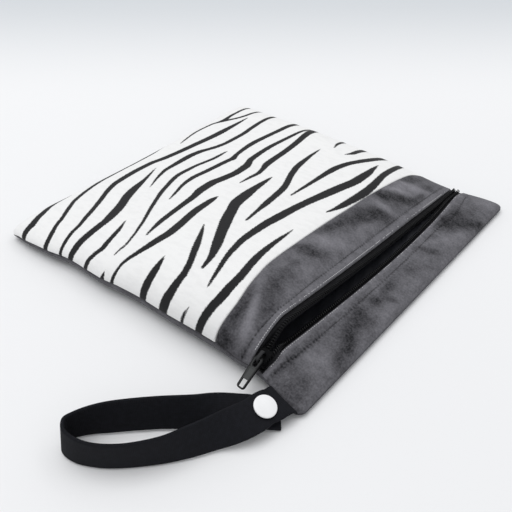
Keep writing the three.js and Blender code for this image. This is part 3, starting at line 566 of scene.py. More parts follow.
def stripeValue(place):
    # distance to the nearest stripe's edge, below 0 inside it: height above its middle line less half its
    # width, taken square to the line, and growing past its two ends
    across, along = place[..., 0], place[..., 1] - stripes["shift"]
    nearest = np.full(across.shape, stripes["clear"])
    for stripe in stripeChart:
        middle, width = readTable(stripe, across)
        ahead, _ = readTable(stripe, across + stripes["step"])
        square = 1 / np.sqrt(1 + ((ahead - middle) / stripes["step"]) ** 2)
        past = np.maximum(0, np.maximum(stripe[0][0] - across, across - stripe[-1][0]))
        half = (width + stripes["grow"]) * square / 2
        nearest = np.minimum(nearest, np.abs(along - middle) * square - half + past * stripes["pastEnd"])
    return nearest


def seamPucker(s, run, size):
    # small gathers along the side seams, two sines of the run, gone 12 mm from the seam
    near = np.exp(-((1 - np.abs(s)) * pouch["halfWidth"] / 6.0) ** 2)
    return size * near * (np.sin(run * 137.5) * 0.6 + np.sin(run * 216.25 + 1.3) * 0.4)


def softWave(s, run, size):
    # slow swells of the filled cloth: one product of sines and one slanted sine
    swell = np.sin(s * 5.1 + 2.0 * run) * np.sin(run * 9.0 + 0.7)
    return size * (swell + 0.5 * np.sin(s * 11.0 - run * 6.0))


def makeFrontPanel():
    # the front face from the bottom seam to the band; the print lies by its length along the middle from
    # the bottom seam, and is drawn back where the left seam is pushed out
    size, turn = frontPanel, pouch["bottomTurn"]
    s = crossPlaces(size["across"])
    end = pouch["bandStart"] - pouch["bandGap"]
    turned = turn * np.linspace(0, 1, size["turnRows"]) ** size["turnSpacing"]
    rest = runPlaces(turn, end, size["rows"], size["edge"])[2:]  # without the two rows nearest the turn
    run = np.concatenate([turned[:, None], rest])
    fold = softWave(s, run, size["wave"]) + seamPucker(s, run, size["pucker"])
    fold = fold * smooth(0.0, 0.06, run) - size["seamDip"] * smooth(end - size["dipFrom"], end, run)
    along = strayed(s, run)
    outer, inner = [frontFace(s, along, inset, fold) for inset in (0.0, pouch["wall"])]
    straight = np.linspace(0, 1, 400)
    middleLine = arcLength(frontFace(0 * straight, straight, 0.0), 0)
    pushed = np.maximum(0, readTable(bulgeRows, outer[..., 1])[0] - size["drawnPast"])
    drawn = size["seamDraw"] * pushed * smooth(size["drawnFrom"], 1.0, -s)
    place = np.stack([flatMap(outer)[..., 0], np.interp(along, straight, middleLine) - drawn], -1)
    stripe = np.concatenate([stripeValue(place).ravel(), np.full(along.size, stripes["clear"])])
    makeSheet("front_panel_plush", "front_panel", "striped", outer, inner,
              {"stripe": stripe}, place)


makeFrontPanel()
print("front panel made")

# Charcoal bands, each with a lip turned under at the zip and a row of stitches beside it
# stitch and lip rows: place across and place along the run; lint: place across and the share of threads
# shown; marks: place along the zip and down the band, half length and half width, slant in degrees,
# lightness of the nap, which also paints the folds' shade and highlight, and height of the fold
frontBand = {
    "face": frontFace, "run": (pouch["bandStart"] + pouch["bandGap"], 1.0), "lip": 1.0,
    "lipFade": (5.0, 3.0), "runStart": 0.76, "runScale": 145.8, "across": 431, "rows": 44, "edge": 0.006,
    "lipRows": [(-103, 0.994), (103, 0.994)],
    "stitchRows": [
        (-103, 0.963), (-92, 0.966), (-80, 0.973), (-70, 0.973), (-55, 0.968), (-35, 0.964), (103, 0.963),
    ],
    "lint": [
        (-103, 0.5), (-95, 0.9), (-72, 0.9), (-66, 0.5), (-42, 0.5), (-38, 1), (5, 1), (10, 0.45),
        (62, 0.35), (68, 1), (86, 1), (92, 0.2),
    ],
    "marks": [
        (-101, 16, 8, 3.4, 90, -0.8, -0.4), (-88, 15, 13, 3.8, -4, -0.72, -0.2),
        (-86, 20.5, 17, 3, -27, 0.6, 0.6), (-78, 25.5, 13, 4.6, -28, -0.5, -0.6),
        (-101, 29, 4, 4, 0, -0.5, 0), (-68, 18, 8, 4, -20, -0.28, 0), (-58, 17, 8, 3.4, 0, -0.24, 0),
        (-46, 16, 3, 2, 0, -0.4, 0), (-56, 22, 8, 2.4, 0, -0.14, 0), (-44, 23, 8, 4, 5, 0.18, 0),
        (-33, 12.5, 6, 4.4, 62, -0.7, -0.3), (-29.5, 19.5, 5, 3.4, 60, -0.5, -0.2),
        (-18, 17, 14, 5, 47, 0.5, 0.5), (-5, 9.8, 12, 3, 12, -0.66, -0.3),
        (12, 14, 12, 4.2, 12, -0.66, -0.3), (23, 16.5, 10, 5.4, 30, -0.74, -0.4),
        (31, 22.5, 8, 4.2, 60, -0.74, -0.4), (8, 23.5, 10, 3.8, 0, 0.2, 0.1),
        (37.5, 19, 7, 2.8, 80, 0.6, 0.4), (47.5, 12, 7, 5.2, 75, -0.86, -0.6),
        (54, 20, 10, 4.6, 42, -0.8, -0.5), (63, 26, 6, 2.8, 25, -0.45, 0),
        (60, 16.5, 11, 2.8, 52, 0.62, 0.5), (65, 12.5, 7, 4, 0, 0.26, 0.1), (76, 20, 11, 3, 56, 0.6, 0.4),
        (72, 27, 5, 2.2, 0, -0.6, -0.3), (84, 13.5, 11, 3.4, 14, -0.5, -0.3),
        (88, 25, 5.5, 3.8, 0, -0.5, -0.2), (89, 9.3, 4, 1, 0, -0.8, -0.2),
        (69, 18.5, 7, 3.6, 50, 0.42, 0.1), (83, 9.8, 7, 2.4, 0, -0.4, 0),
    ],
}
topBand = {
    "face": topFace, "run": (0.0, 1.0), "lip": 0.0, "lipFade": (2.4, 1.4),
    "runStart": 0.0, "runScale": 21.6, "across": 431, "rows": 40, "edge": 0.04,
    "lipRows": [(-103, 0.03), (103, 0.03)],
    "stitchRows": [
        (-103, 0.145), (-93, 0.145), (-82, 0.215), (50, 0.215), (58, 0.235), (66, 0.29), (72, 0.29),
        (80, 0.255), (90, 0.21), (103, 0.13),
    ],
    "lint": [
        (-103, 1), (-62, 1), (-54, 0.45), (0, 0.45), (103, 0.5),
    ],
    "marks": [
        (-96, 12, 9, 4.4, 0, -0.42, 0), (-89, 14.5, 4, 2.5, 0, -0.2, 0), (-76, 9.5, 7, 6, 90, 0.24, 0.2),
        (-55, 13, 17, 3.7, -21, -0.74, -0.3), (-63, 16.3, 7, 2.4, -8, -0.25, 0),
        (-40.5, 14.5, 6, 4, 0, -0.42, 0), (-39, 8.5, 8, 3, -8, -0.42, 0),
        (-25, 9.3, 4.5, 2.6, 25, -0.64, -0.2), (-12, 8.2, 6, 2.2, -8, -0.74, -0.2),
        (-17, 14.5, 4, 1.6, 75, -0.34, 0), (9.5, 11.5, 7, 4.4, 15, -0.3, 0),
        (29.5, 10, 5.5, 2.6, 65, -0.54, -0.2), (34, 6, 5, 1.8, 35, 0.25, 0.1),
        (42, 6, 6, 2.4, 15, -0.22, 0), (48, 13, 13, 4.8, 38, 0.3, 0.3), (58, 3.4, 8, 6, 25, -0.78, -0.2),
        (64, 11, 9, 5.4, 45, -0.86, -0.3), (71, 18, 5.5, 3.4, 60, -0.78, -0.2),
        (80, 8.5, 11, 6, 20, -0.2, 0), (70, 6, 7, 4, 10, -0.35, 0), (2, 16, 12, 4, 0, 0.14, 0),
        (-30, 18.5, 16, 3, 0, 0.18, 0), (95, 13, 7, 6, 0, 0.34, 0.1), (-81, 4.4, 18, 2, -2, -0.46, 0),
        (-94, 3.7, 8, 1.2, 5, -0.42, 0), (-104, 17.5, 6, 5, 0, -0.34, 0),
    ],
}
napShadeTone = {"gain": 1.6, "deepest": 0.92, "pale": 0.8, "base": -0.04, "lipClear": 0.6, "rowShade": 0.55,
           "halfRow": 0.55, "onLip": 0.22}
groove = {"deep": 0.42, "half": 0.75, "even": 0.62, "pucker": 0.2}
stitch = {"rows": "stitchRows", "pitch": 2.2, "long": 1.5, "radius": 0.19, "sink": 0.14,
          "finish": "thread"}


def downBand(band, run):
    # millimetres down the band from where its chart of marks starts
    return (run - band["runStart"]) * band["runScale"]


def fromRow(band, s, run):
    # place across, and how far down the band it is from the stitch row there
    x = s * pouch["halfWidth"]
    return x, downBand(band, run) - downBand(band, readTable(band["stitchRows"], x)[0])


def markSum(band, x, run, kind):
    # sum of slanted bell curves, each with the mark's nap and painted shade, or its fold, at its middle
    total = np.zeros(np.broadcast(x, run).shape)
    for middle, depth, long, wide, slant, napAndShade, fold in band["marks"]:
        turn = math.radians(slant)
        right, down = x - middle, downBand(band, run) - depth
        along = right * math.cos(turn) + down * math.sin(turn)
        across = down * math.cos(turn) - right * math.sin(turn)
        size = napAndShade if kind == "napAndShade" else fold
        total = total + size * np.exp(-(along / long) ** 2 - (across / wide) ** 2)
    return total


def bandFold(band, s, run):
    # folds from the chart of marks, small gathers at the side seams, and a trough along the stitch row
    # that is deepest where each stitch goes through the cloth
    x, off = fromRow(band, s, run)
    beat = groove["even"] + (1 - groove["even"]) * np.cos(2 * np.pi * x / stitch["pitch"])
    trough = -groove["deep"] * beat * np.exp(-(off / groove["half"]) ** 2)
    return markSum(band, x, run, "fold") + trough + seamPucker(s, run, groove["pucker"])


def bandNap(band, s, run):
    # nap lightness with painted light: the chart of marks, whose nap paints the folds' shade and highlight
    # too, painted shade in the stitch row's groove, and paler on the lip; dark marks level out towards the
    # deepest tone
    x, off = fromRow(band, s, run)
    # painted shade in the stitch row's groove, darkest at each stitch
    rowShade = np.exp(-(off / napShadeTone["halfRow"]) ** 2) * (0.5 + 0.5 * np.cos(2 * np.pi * x / stitch["pitch"]))
    onLip = smooth(*band["lipFade"], np.abs(run - band["lip"]) * band["runScale"])
    # the marks' nap: the nap's own tone together with painted shade and highlight of the folds
    marks = markSum(band, x, run, "napAndShade") * napShadeTone["gain"]
    deepest = napShadeTone["deepest"]
    dark = deepest * (np.exp(np.minimum(marks, 0) / deepest) - 1)
    napAndShade = np.where(marks < 0, dark, marks * napShadeTone["pale"]) * (1 - napShadeTone["lipClear"] * onLip)
    return np.clip(napAndShade + napShadeTone["base"] - napShadeTone["rowShade"] * rowShade + napShadeTone["onLip"] * onLip, -1, 1)


def makeBand(name, node, band):
    # the band's face with its folds; the front band starts at the strayed seam
    s = crossPlaces(band["across"])
    run = runPlaces(*band["run"], band["rows"], band["edge"])
    if band is frontBand:
        run = strayed(s, run)
    fold = bandFold(band, s, run)
    outer, inner = [band["face"](s, run, inset, fold) for inset in (0.0, pouch["wall"])]
    # the nap value carries painted shade and highlight of the folds and painted shade in the stitch row
    napAndShade = bothFaces(bandNap(band, s, run))
    makeSheet(name, node, "charcoal", outer, inner, {"napAndShade": napAndShade}, flatMap(outer))


makeBand("front_band_plush", "front_band", frontBand)
makeBand("top_band_plush", "top_band", topBand)
print("bands made")

backPanel = {"across": 141, "rows": 70, "endRows": 14, "end": 0.034, "endSpacing": 1.8, "paintedSideShade": 0.25}


def makeBackPanel():
    # the back face, with rows closer together at its two rolled ends and painted shade darkening the nap
    # towards the sides
    size, end = backPanel, backPanel["end"]
    s = crossPlaces(size["across"])
    ends = end * np.linspace(0, 1, size["endRows"]) ** size["endSpacing"]
    run = np.concatenate([ends, np.linspace(end, 1 - end, size["rows"])[1:-1], 1 - ends[::-1]])[:, None]
    outer, inner = [backFace(s, run, inset) for inset in (0.0, pouch["wall"])]
    # painted shade on the rolled sides, over a slow swell of the nap
    napAndShade = bothFaces(0.05 * np.sin(s * 7 + run * 5) - size["paintedSideShade"] * s * s)
    makeSheet("back_panel_plush", "back_panel", "charcoal", outer, inner,
              {"napAndShade": napAndShade}, flatMap(outer))


makeBackPanel()

# Lining, only near the mouth where it shows
lining = {"wall": 0.8, "left": 0.92, "right": 0.736, "crease": 0.25, "across": 121, "rows": 61}


def makeLining(name, node, face, low, high, depth):
    # the face made smaller by the depth, with soft creases from products of sines
    s = np.linspace(-lining["left"], lining["right"], lining["across"])[None, :]
    run = np.linspace(low, high, lining["rows"])[:, None]
    crease = lining["crease"] * np.sin(s * 31 + 4 * np.sin(run * 37)) * np.sin(run * 71 + s * 9)
    lift = crease[..., None] * [0, 0, 1]
    outer, inner = [face(s, run, inset) + lift for inset in (depth, depth + lining["wall"])]
    makeSheet(name, node, "lining", outer, inner)


makeLining("lining_front_cloth", "lining_front", frontFace, 0.5, 0.985, 4.65)
makeLining("lining_back_cloth", "lining_back", backFace, 0.52, 0.955, 2.3)
print("back and lining made")

# Zip: two tapes, two coil rows, slider and pull, in the places that the solids hold
zipSizes = {"sliderX": -97.0, "sliderHalf": 4.3, "leftEnd": -103.0, "rightEnd": 100.5, "end": 0.985,
            "endFrom": 0.85, "leftZ": 8.6, "rightZ": 5.3, "chainY": -79.5, "tilt": math.radians(20),
            "opens": 16, "closes": (-22, -1), "postGap": 0.8, "postReach": (-0.5, 2.2), "shoulder": 3.3,
            "shoulderLess": 0.6, "lessFrom": 9, "besideShare": 0.6, "tapeWall": 0.6, "show": 3.1,
            "lipStep": 0.6, "coilHalfWidth": 1.1, "coilHalfHeight": 0.95, "coilBack": 0.05,
            "pitch": 1.45, "wire": 0.31, "across": 331, "rows": (6, 6, 8), "coilSteps": 1201,
            "turnSteps": 16, "wireSides": 6}
# each side's face, the runs of its lip and of the tape's hidden edge, its way to the mouth and free slope
zipSides = {
    "front": {"face": frontFace, "lipRun": 1.0, "hiddenRun": 0.94, "inward": -1, "freeSlope": -0.35},
    "top": {"face": topFace, "lipRun": 0.0, "hiddenRun": 0.3, "inward": 1, "freeSlope": 0.1},
}


def chainShut(x):
    # 0 in the mouth and 1 at its closed right end
    return smooth(*zipSizes["closes"], x - zipSizes["rightEnd"])


def onChain(x):
    # 1 where the two rows run closed at either end of the mouth, 0 where the mouth is free
    left = smooth(zipSizes["sliderHalf"], zipSizes["opens"], x - zipSizes["sliderX"])
    return np.maximum(1 - left, chainShut(x))


def chainHalfGap(x):
    # half the gap between the tapes: closed behind the slider, opened by its post
    opened = smooth(*zipSizes["postReach"], x - zipSizes["sliderX"])
    return pouch["seamGap"] / 2 + zipSizes["postGap"] * opened * (1 - chainShut(x))


def chainRise(x):
    # height of the chain, climbing from its left end by the tilt
    return zipSizes["leftZ"] + (x - zipSizes["leftEnd"]) * math.tan(zipSizes["tilt"])


def mixed(first, second, share):
    # from the first line to the second by each point's share
    return first + (second - first) * share[:, None]


def tapeLines(s, face, lipRun, hiddenRun, inward, freeSlope):
    # four lines along the tape: under the band, at its lip, beside the coil and at the free edge
    depth = pouch["wall"] + 2 * pouch["seamGap"]
    end, begin, show = zipSizes["end"], zipSizes["endFrom"], zipSizes["show"]
    lip = face(s, np.full_like(s, lipRun), depth)
    lip[:, 1] += inward * zipSizes["lipStep"]
    reach = np.maximum(0, (np.abs(s) - begin) / (end - begin)) ** 2
    fullX = end * np.abs(lip[:, 0]) / np.maximum(np.abs(s), 1e-6)
    x = lip[:, 0] + np.sign(s) * reach * (zipSizes["rightEnd"] - fullX)
    free = np.stack([x, lip[:, 1] + inward * show, lip[:, 2] + freeSlope * show], -1)
    chainZ = np.where(x < 0, chainRise(x), zipSizes["rightZ"])
    closed = np.stack([x, zipSizes["chainY"] - inward * chainHalfGap(x), chainZ], -1)
    share = onChain(x)
    edge = mixed(free, closed, share)
    past = smooth(zipSizes["sliderHalf"], zipSizes["lessFrom"], x - zipSizes["sliderX"])
    wide = zipSizes["shoulder"] - zipSizes["shoulderLess"] * past
    shoulder = closed - np.array([0, inward, 0]) * wide[:, None]
    beside = mixed(free + (lip - free) * zipSizes["besideShare"], shoulder, share)
    hidden = face(s, np.full_like(s, hiddenRun), depth + 2 * pouch["seamGap"])
    return hidden, lip, beside, edge


def makeTape(side):
    # the four lines joined by straight stretches, with the lower face moved square to the tape
    s = np.linspace(-zipSizes["end"], zipSizes["end"], zipSizes["across"])
    lines = np.stack(tapeLines(s, **zipSides[side]))
    upper = [first + (second - first) * np.linspace(0, 1, count, endpoint=False)[:, None, None]
             for first, second, count in zip(lines[:-1], lines[1:], zipSizes["rows"])]
    upper = np.concatenate([*upper, lines[3:]])
    step = np.gradient(upper, axis=0)
    normal = unit(np.stack([0 * step[..., 0], -step[..., 2], step[..., 1]], -1)) * zipSides[side]["inward"]
    makeSheet(f"zip_tape_{side}_cloth", f"zip_tape_{side}", "tape",
              upper, upper - normal * zipSizes["tapeWall"], None, flatMap(upper))


def swept(path, first, second, section):
    # a closed section carried along a path, with its two axes given at each point
    return path[:, None] + section[None, :, :1] * first[:, None] + section[None, :, 1:] * second[:, None]


def carried(path, side, section):
    # a closed section carried square to a path; side is the direction that its first axis keeps to
    tangent = unit(np.gradient(path, axis=0))
    first = unit(side - np.sum(side * tangent, -1, keepdims=True) * tangent)
    return swept(path, first, np.cross(tangent, first), section)


def tubeArrays(rings):
    # rings of equal count joined into a closed bar with flat ends
    rows, count = rings.shape[:2]
    faces = gridFaces(rows, count, around=True).tolist()
    last = (rows - 1) * count
    faces += [list(range(count))[::-1], list(range(last, last + count))]
    return rings.reshape(-1, 3), faces


def circle(count, radius=1.0, turn=0.0):
    # points round a circle, started by a share of one step
    angle = (np.arange(count) + turn) / count * 2 * np.pi
    return radius * np.stack([np.cos(angle), np.sin(angle)], -1)


def coilFrame(side):
    # centre line of the coil on the tape's free edge, with the directions back from the mouth and up
    s = np.linspace(-zipSizes["end"], zipSizes["end"], zipSizes["coilSteps"])
    _, _, beside, edge = tapeLines(s, **zipSides[side])
    back = beside - edge
    back[:, 0] = 0
    back = unit(back)
    up = np.stack([0 * s, -back[:, 2], back[:, 1]], -1) * np.sign(back[:, 1])[:, None]
    lift = zipSizes["coilHalfHeight"] + pouch["seamGap"]
    return edge + back * (zipSizes["coilHalfWidth"] + zipSizes["coilBack"]) + up * lift, back, up


def makeCoil(side, phase):
    # wire carried along a flattened helix: the turn grows by one for each pitch of the centre line
    lines = coilFrame(side)
    length = arcLength(lines[0], 0)
    turns = int(length[-1] / zipSizes["pitch"])
    at = np.linspace(0, length[-1], turns * zipSizes["turnSteps"] + 1)
    centre, back, up = [columnsAt(at, length, line) for line in lines]
    angle = (2 * np.pi * (at / zipSizes["pitch"] + phase))[:, None]
    halfWidth = zipSizes["coilHalfWidth"] - zipSizes["wire"]
    halfHeight = zipSizes["coilHalfHeight"] - zipSizes["wire"]
    outwards = unit(back) * np.cos(angle) * halfWidth + unit(up) * np.sin(angle) * halfHeight
    section = circle(zipSizes["wireSides"], zipSizes["wire"])
    points, faces = tubeArrays(carried(centre + outwards, outwards, section))
    fasten(makePiece(f"zip_coil_{side}_loops", points, faces, "coil"), f"zip_coil_{side}")


makeTape("front")
makeTape("top")
makeCoil("front", 0.0)
makeCoil("top", 0.5)
print("tapes and coils made")

sliderSizes = {"plate": 0.9, "upper": 2.8, "lower": -1.8, "narrow": 0.85, "bevel": 0.28,
               "bailBack": -3.725, "bailFront": 1.225, "bailRound": 1.4, "bailWall": 0.95,
               "bailThick": 1.6, "pivotX": -2.18, "pivotZ": 5.4, "barReach": 0.92, "barGap": 0.3,
               "flange": (1.6, 0.225), "flangeAt": (-2.2, 2.775), "flangeHeights": (0.3, 2.9),
               "flangeBevel": 0.08, "post": (0.9, 0.6), "postX": 3.1, "postLift": 0.2, "postBevel": 0.1,
               "highlightShare": 0.3, "highlightHeights": (5.6, 7.2)}
# half of the plate's plan: place along the chain and half width
platePlan = [
    (-4.3, 1.5), (-4.0, 2.3), (-3.2, 2.9), (-1.4, 3.0), (0.6, 3.0), (2.3, 3.3), (3.1, 3.3), (4.0, 2.7),
    (4.3, 1.8),
]


def turnAboutY(points, angle):
    # x' = x cos + z sin, z' = z cos - x sin
    cosine, sine = math.cos(angle), math.sin(angle)
    x, y, z = points[..., 0], points[..., 1], points[..., 2]
    return np.stack([x * cosine + z * sine, y, z * cosine - x * sine], -1)


def sliderPlace():
    # the slider's middle on the chain
    return np.array([zipSizes["sliderX"], zipSizes["chainY"], chainRise(zipSizes["sliderX"])])


def slab(plan, low, high, bevel):
    # a plan outline stacked in rings, drawn in by a quarter circle at its lower and upper edges
    centre = plan.mean(0)
    turn = np.linspace(0, 0.5, 5) * np.pi
    inset = np.concatenate([bevel * (1 - np.sin(turn)), bevel * (1 - np.cos(turn))])
    height = np.concatenate([low + bevel * (1 - np.cos(turn)), high - bevel + bevel * np.sin(turn)])
    reach = np.linalg.norm(plan - centre, axis=1)
    rings = centre + (plan - centre) * (1 - inset[:, None, None] / reach[:, None])
    height = np.broadcast_to(height[:, None, None], rings.shape[:2] + (1,))
    return tubeArrays(np.concatenate([rings, height], -1))


def joined(parts):
    # several closed bodies as one mesh
    points, faces, start = [], [], 0
    for partPoints, partFaces in parts:
        points.append(partPoints)
        turned = outward(partPoints, [list(face) for face in partFaces])
        faces += [[index + start for index in face] for face in turned]
        start += len(partPoints)
    return np.concatenate(points), faces


def rectangle(halfX, halfY, x=0, y=0):
    # rounded oblong: a circle with its quarters pushed out to the four corners
    ring = circle(24, 1.0, 0.5)
    rounding = min(halfX, halfY) * 0.45
    corner = np.sign(ring) * np.array([halfX - rounding, halfY - rounding])
    return corner + ring * rounding + np.array([x, y])


def bailArch():
    # flat wire carried up from the plate, over two rounded corners and down again
    size = sliderSizes
    base = size["upper"] + size["plate"] / 2
    crown = size["pivotZ"] + size["barReach"] + size["barGap"] + size["bailWall"] / 2
    bend = size["bailRound"] - size["bailWall"] / 2
    over, back, front = crown - bend, size["bailBack"], size["bailFront"]
    corner = np.linspace(0, 0.5, 9) * np.pi
    rise = np.linspace(base, over, 6)[:-1]
    x = [np.full_like(rise, back), back + bend - bend * np.cos(corner),
         front - bend + bend * np.sin(corner), np.full_like(rise, front)]
    z = [rise, over + bend * np.sin(corner), over + bend * np.cos(corner), rise[::-1]]
    x, z = np.concatenate(x), np.concatenate(z)
    path = np.stack([x, 0 * x, z], -1)
    section = rectangle(size["bailThick"] / 2, size["bailWall"] / 2)
    return tubeArrays(carried(path, np.broadcast_to([0.0, 1.0, 0.0], path.shape), section))


def makeSlider():
    # two plates, the flanges and post between them and the bail, with a painted highlight paler towards the
    # top of the bail
    size = sliderSizes
    half = np.array(platePlan)
    side = columnsAt(np.linspace(0, len(half) - 1, 33), np.arange(len(half)), half)
    plan = np.concatenate([side, (side * [1, -1])[::-1]])
    low, high, plate = size["lower"], size["upper"], size["plate"]
    parts = [slab(plan, high, high + plate, size["bevel"]),
             slab(plan * [1, size["narrow"]], low, low + plate, size["bevel"])]
    flangeX, flangeY = size["flangeAt"]
    for sign in (1, -1):
        flange = rectangle(*size["flange"], flangeX, sign * flangeY)
        parts.append(slab(flange, *size["flangeHeights"], size["flangeBevel"]))
    post = rectangle(*size["post"], size["postX"])
    parts.append(slab(post, low + size["postLift"], high + size["postLift"], size["postBevel"]))
    points, faces = joined([*parts, bailArch()])
    # painted highlight on the top of the bail, carried by the recess value
    paintedHighlight = size["highlightShare"] * smooth(*size["highlightHeights"], points[:, 2])
    points = turnAboutY(points, -zipSizes["tilt"]) + sliderPlace()
    piece = makePiece("zip_slider_body", points, faces, "slider", {"recess": paintedHighlight})
    fasten(piece, "zip_slider")


pullSizes = {"long": 16.2, "half": 2.5, "tipHalf": 2.1, "thick": 1.3, "droop": math.radians(29),
             "tipRound": 1.4, "bar": 0.65, "barLess": 0.5, "slotEnd": -4.8, "slotHalf": 1.3,
             "slotLeast": 0.12, "side": 0.5, "rim": 0.8, "holeLong": 4.1, "recess": (-10.7, -5.6),
             "recessSlope": 0.1, "recessDeep": 0.32, "recessStep": 0.25, "bareEdge": 0.75,
             "barStep": 0.3, "holeSteps": (1.0, 0.45, 0.0), "near": 0.01, "round": 0.2, "roundSteps": 3,
             "roundFrom": math.radians(40)}


def pullStations(tip, holeTop):
    # places along the tab, closer together round the slot's end and the tip's corners
    size = pullSizes
    arc = 1 - np.cos(np.linspace(0, 0.5, 6) * np.pi)
    head = [size["bar"], size["bar"] - size["barStep"], -size["bar"]]
    slot = size["slotEnd"] + size["slotHalf"] * arc[::-1]
    recess = [end + way * size["recessSlope"] for end in size["recess"] for way in (1, -1)]
    hole = tip + size["rim"] + np.array(size["holeSteps"])
    ends = tip + size["tipRound"] * arc[::-1]
    return np.unique(np.round(np.concatenate([head, slot, recess, [holeTop], hole, ends]), 4))[::-1]


def cellSolid(top, low, solid):
    # closed body over the solid cells of a grid: upper and lower quads, and a wall where a cell has
    # no neighbour
    rows, columns = top.shape[:2]
    count = rows * columns
    ids = np.arange(count).reshape(rows, columns)
    upper = np.stack([ids[:-1, :-1], ids[:-1, 1:], ids[1:, 1:], ids[1:, :-1]], -1)[solid]
    faces = [upper, upper[:, ::-1] + count]
    padded = np.pad(solid, 1).astype(int)
    across = np.diff(padded[1:-1], axis=1)
    along = np.diff(padded[:, 1:-1], axis=0)
    for start, end, change in ((ids[:-1], ids[1:], across), (ids[:, 1:], ids[:, :-1], along)):
        for sign in (1, -1):
            wall = change == sign
            p, q = (start[wall], end[wall])[::sign]
            faces.append(np.stack([p, q, q + count, p + count], -1))
    return np.concatenate([top.reshape(-1, 3), low.reshape(-1, 3)]), np.concatenate(faces)


def makePull():
    # a grid of stations and six lines across; cells over the slot and the hole are left out, the middle
    # lines dip in the recess, and the recess value is low at the dark outer edges
    size = pullSizes
    tip, near = -size["long"], size["near"]
    rimEnd = tip + size["rim"]
    holeTop = rimEnd + size["holeLong"]
    x = pullStations(tip, holeTop)
    past = np.clip((tip + size["tipRound"] - x) / size["tipRound"], 0, 1)
    taper = np.clip(-x / size["long"], 0, 1) * (size["half"] - size["tipHalf"])
    half = size["half"] - taper - size["tipRound"] * (1 - np.sqrt(1 - past ** 2))
    half = half - np.where(x > 0, size["barLess"], 0)
    slotPast = np.clip((size["slotEnd"] + size["slotHalf"] - x) / size["slotHalf"], 0, 1)
    slotInner = np.maximum(size["slotLeast"], size["slotHalf"] * np.sqrt(1 - slotPast ** 2))
    inner = np.where(x < size["slotEnd"] - near, size["half"] - taper - size["rim"], slotInner)
    inner = np.minimum(inner, half - size["side"])
    step = np.minimum(size["recessStep"], inner * 0.5)
    across = np.stack([-half, -inner, step - inner, inner - step, inner, half], -1)
    dip = np.zeros_like(across)
    lowerEnd, upperEnd = size["recess"]
    dip[(x < upperEnd) & (x > lowerEnd), 2:4] = size["recessDeep"]
    height = size["thick"] / 2 - dip
    top, low = [np.stack(np.broadcast_arrays(x[:, None], across, z), -1) for z in (height, -height)]
    middle = (x[1:] + x[:-1]) / 2
    solid = np.ones((len(x) - 1, 5), bool)
    inSlot = (middle < -size["bar"]) & (middle > size["slotEnd"])
    inHole = (middle < holeTop) & (middle > rimEnd)
    solid[inSlot | inHole, 1:4] = False
    points, faces = cellSolid(top, low, solid)
    bare = np.zeros_like(across)
    bare[(x < 0) & (x > rimEnd - near), 1:5] = size["bareEdge"]
    bare[(x < size["slotEnd"]) & (x > holeTop - near), 2:4] = 1.0
    used, faces = np.unique(faces, return_inverse=True)
    points = turnAboutY(points[used], -size["droop"])
    pivot = turnAboutY(np.array([sliderSizes["pivotX"], 0, sliderSizes["pivotZ"]]), -zipSizes["tilt"])
    piece = makePiece("zip_pull_tab", points + pivot + sliderPlace(), faces.reshape(-1, 4), "pull",
                      {"recess": bothFaces(bare)[used]})
    bevel = piece.modifiers.new("rounded", "BEVEL")
    bevel.width = size["round"] * mm
    bevel.segments = size["roundSteps"]
    bevel.limit_method = "ANGLE"
    bevel.angle_limit = size["roundFrom"]
    fasten(piece, "zip_pull", "zip_pull")


makeSlider()
makePull()
print("slider and pull made")

# Strap: one strip from the side seam round the loop to its tail, by the solid's stations, leaned a little
strapSizes = {"width": 16.0, "thick": 1.6, "snapStation": 2, "underStation": 21, "samples": 14,
              "rootWiden": 0.12, "rootShift": 0.9, "rootGap": 0.2}
# x, y, z and the lift of the strip's width from lying flat, in degrees
strapRows = [
    (-107.3, -97.2, 4.9, 10), (-113.2, -97.4, 8.1, 20), (-117.9, -96.0, 8.75, 22),
    (-124.6, -95.1, 9.1, 24), (-133.5, -91.6, 8.8, 42), (-141.0, -87.5, 8.0, 61),
    (-152.1, -82.2, 8.2, 73), (-162.1, -76.4, 8.3, 85), (-174.3, -65.8, 8.3, 91),
    (-181.2, -56.6, 8.3, 90), (-184.5, -47.8, 8.3, 85), (-184.0, -40.6, 8.3, 82),
    (-180.0, -37.4, 8.3, 86), (-175.4, -38.9, 8.3, 92), (-169.3, -42.6, 8.3, 100),
    (-163.1, -47.6, 8.2, 108), (-155.2, -54.9, 8.1, 111), (-147.0, -63.2, 8.0, 113),
    (-138.2, -73.2, 7.8, 120), (-130.0, -82.4, 7.9, 147), (-122.6, -89.3, 6.4, 164),
    (-117.6, -94.2, 4.3, 164.5), (-111.8, -100.3, 2.3, 168),
]


def strapLine(station):
    # centripetal spline through the stations: each stretch is the cubic whose end slopes come from the root
    # of the distances to the neighbouring stations
    rows = np.array(strapRows)[:, :3]
    rows = np.concatenate([2 * rows[:1] - rows[1:2], rows, 2 * rows[-1:] - rows[-2:-1]])
    i = np.clip(np.floor(station).astype(int), 0, len(strapRows) - 2)
    q = (station - i)[:, None]
    p0, p1, p2, p3 = [rows[i + k] for k in range(4)]
    d0, d1, d2 = [np.linalg.norm(step, axis=1, keepdims=True) ** 0.5
                  for step in (p1 - p0, p2 - p1, p3 - p2)]
    start = ((p1 - p0) / d0 - (p2 - p0) / (d0 + d1) + (p2 - p1) / d1) * d1
    end = ((p2 - p1) / d1 - (p3 - p1) / (d1 + d2) + (p3 - p2) / d2) * d1
    second = 3 * (p2 - p1) - 2 * start - end
    third = 2 * (p1 - p2) + start + end
    point = p1 + start * q + second * (q * q) + third * (q * q * q)
    return point, unit(start + 2 * second * q + 3 * third * (q * q))


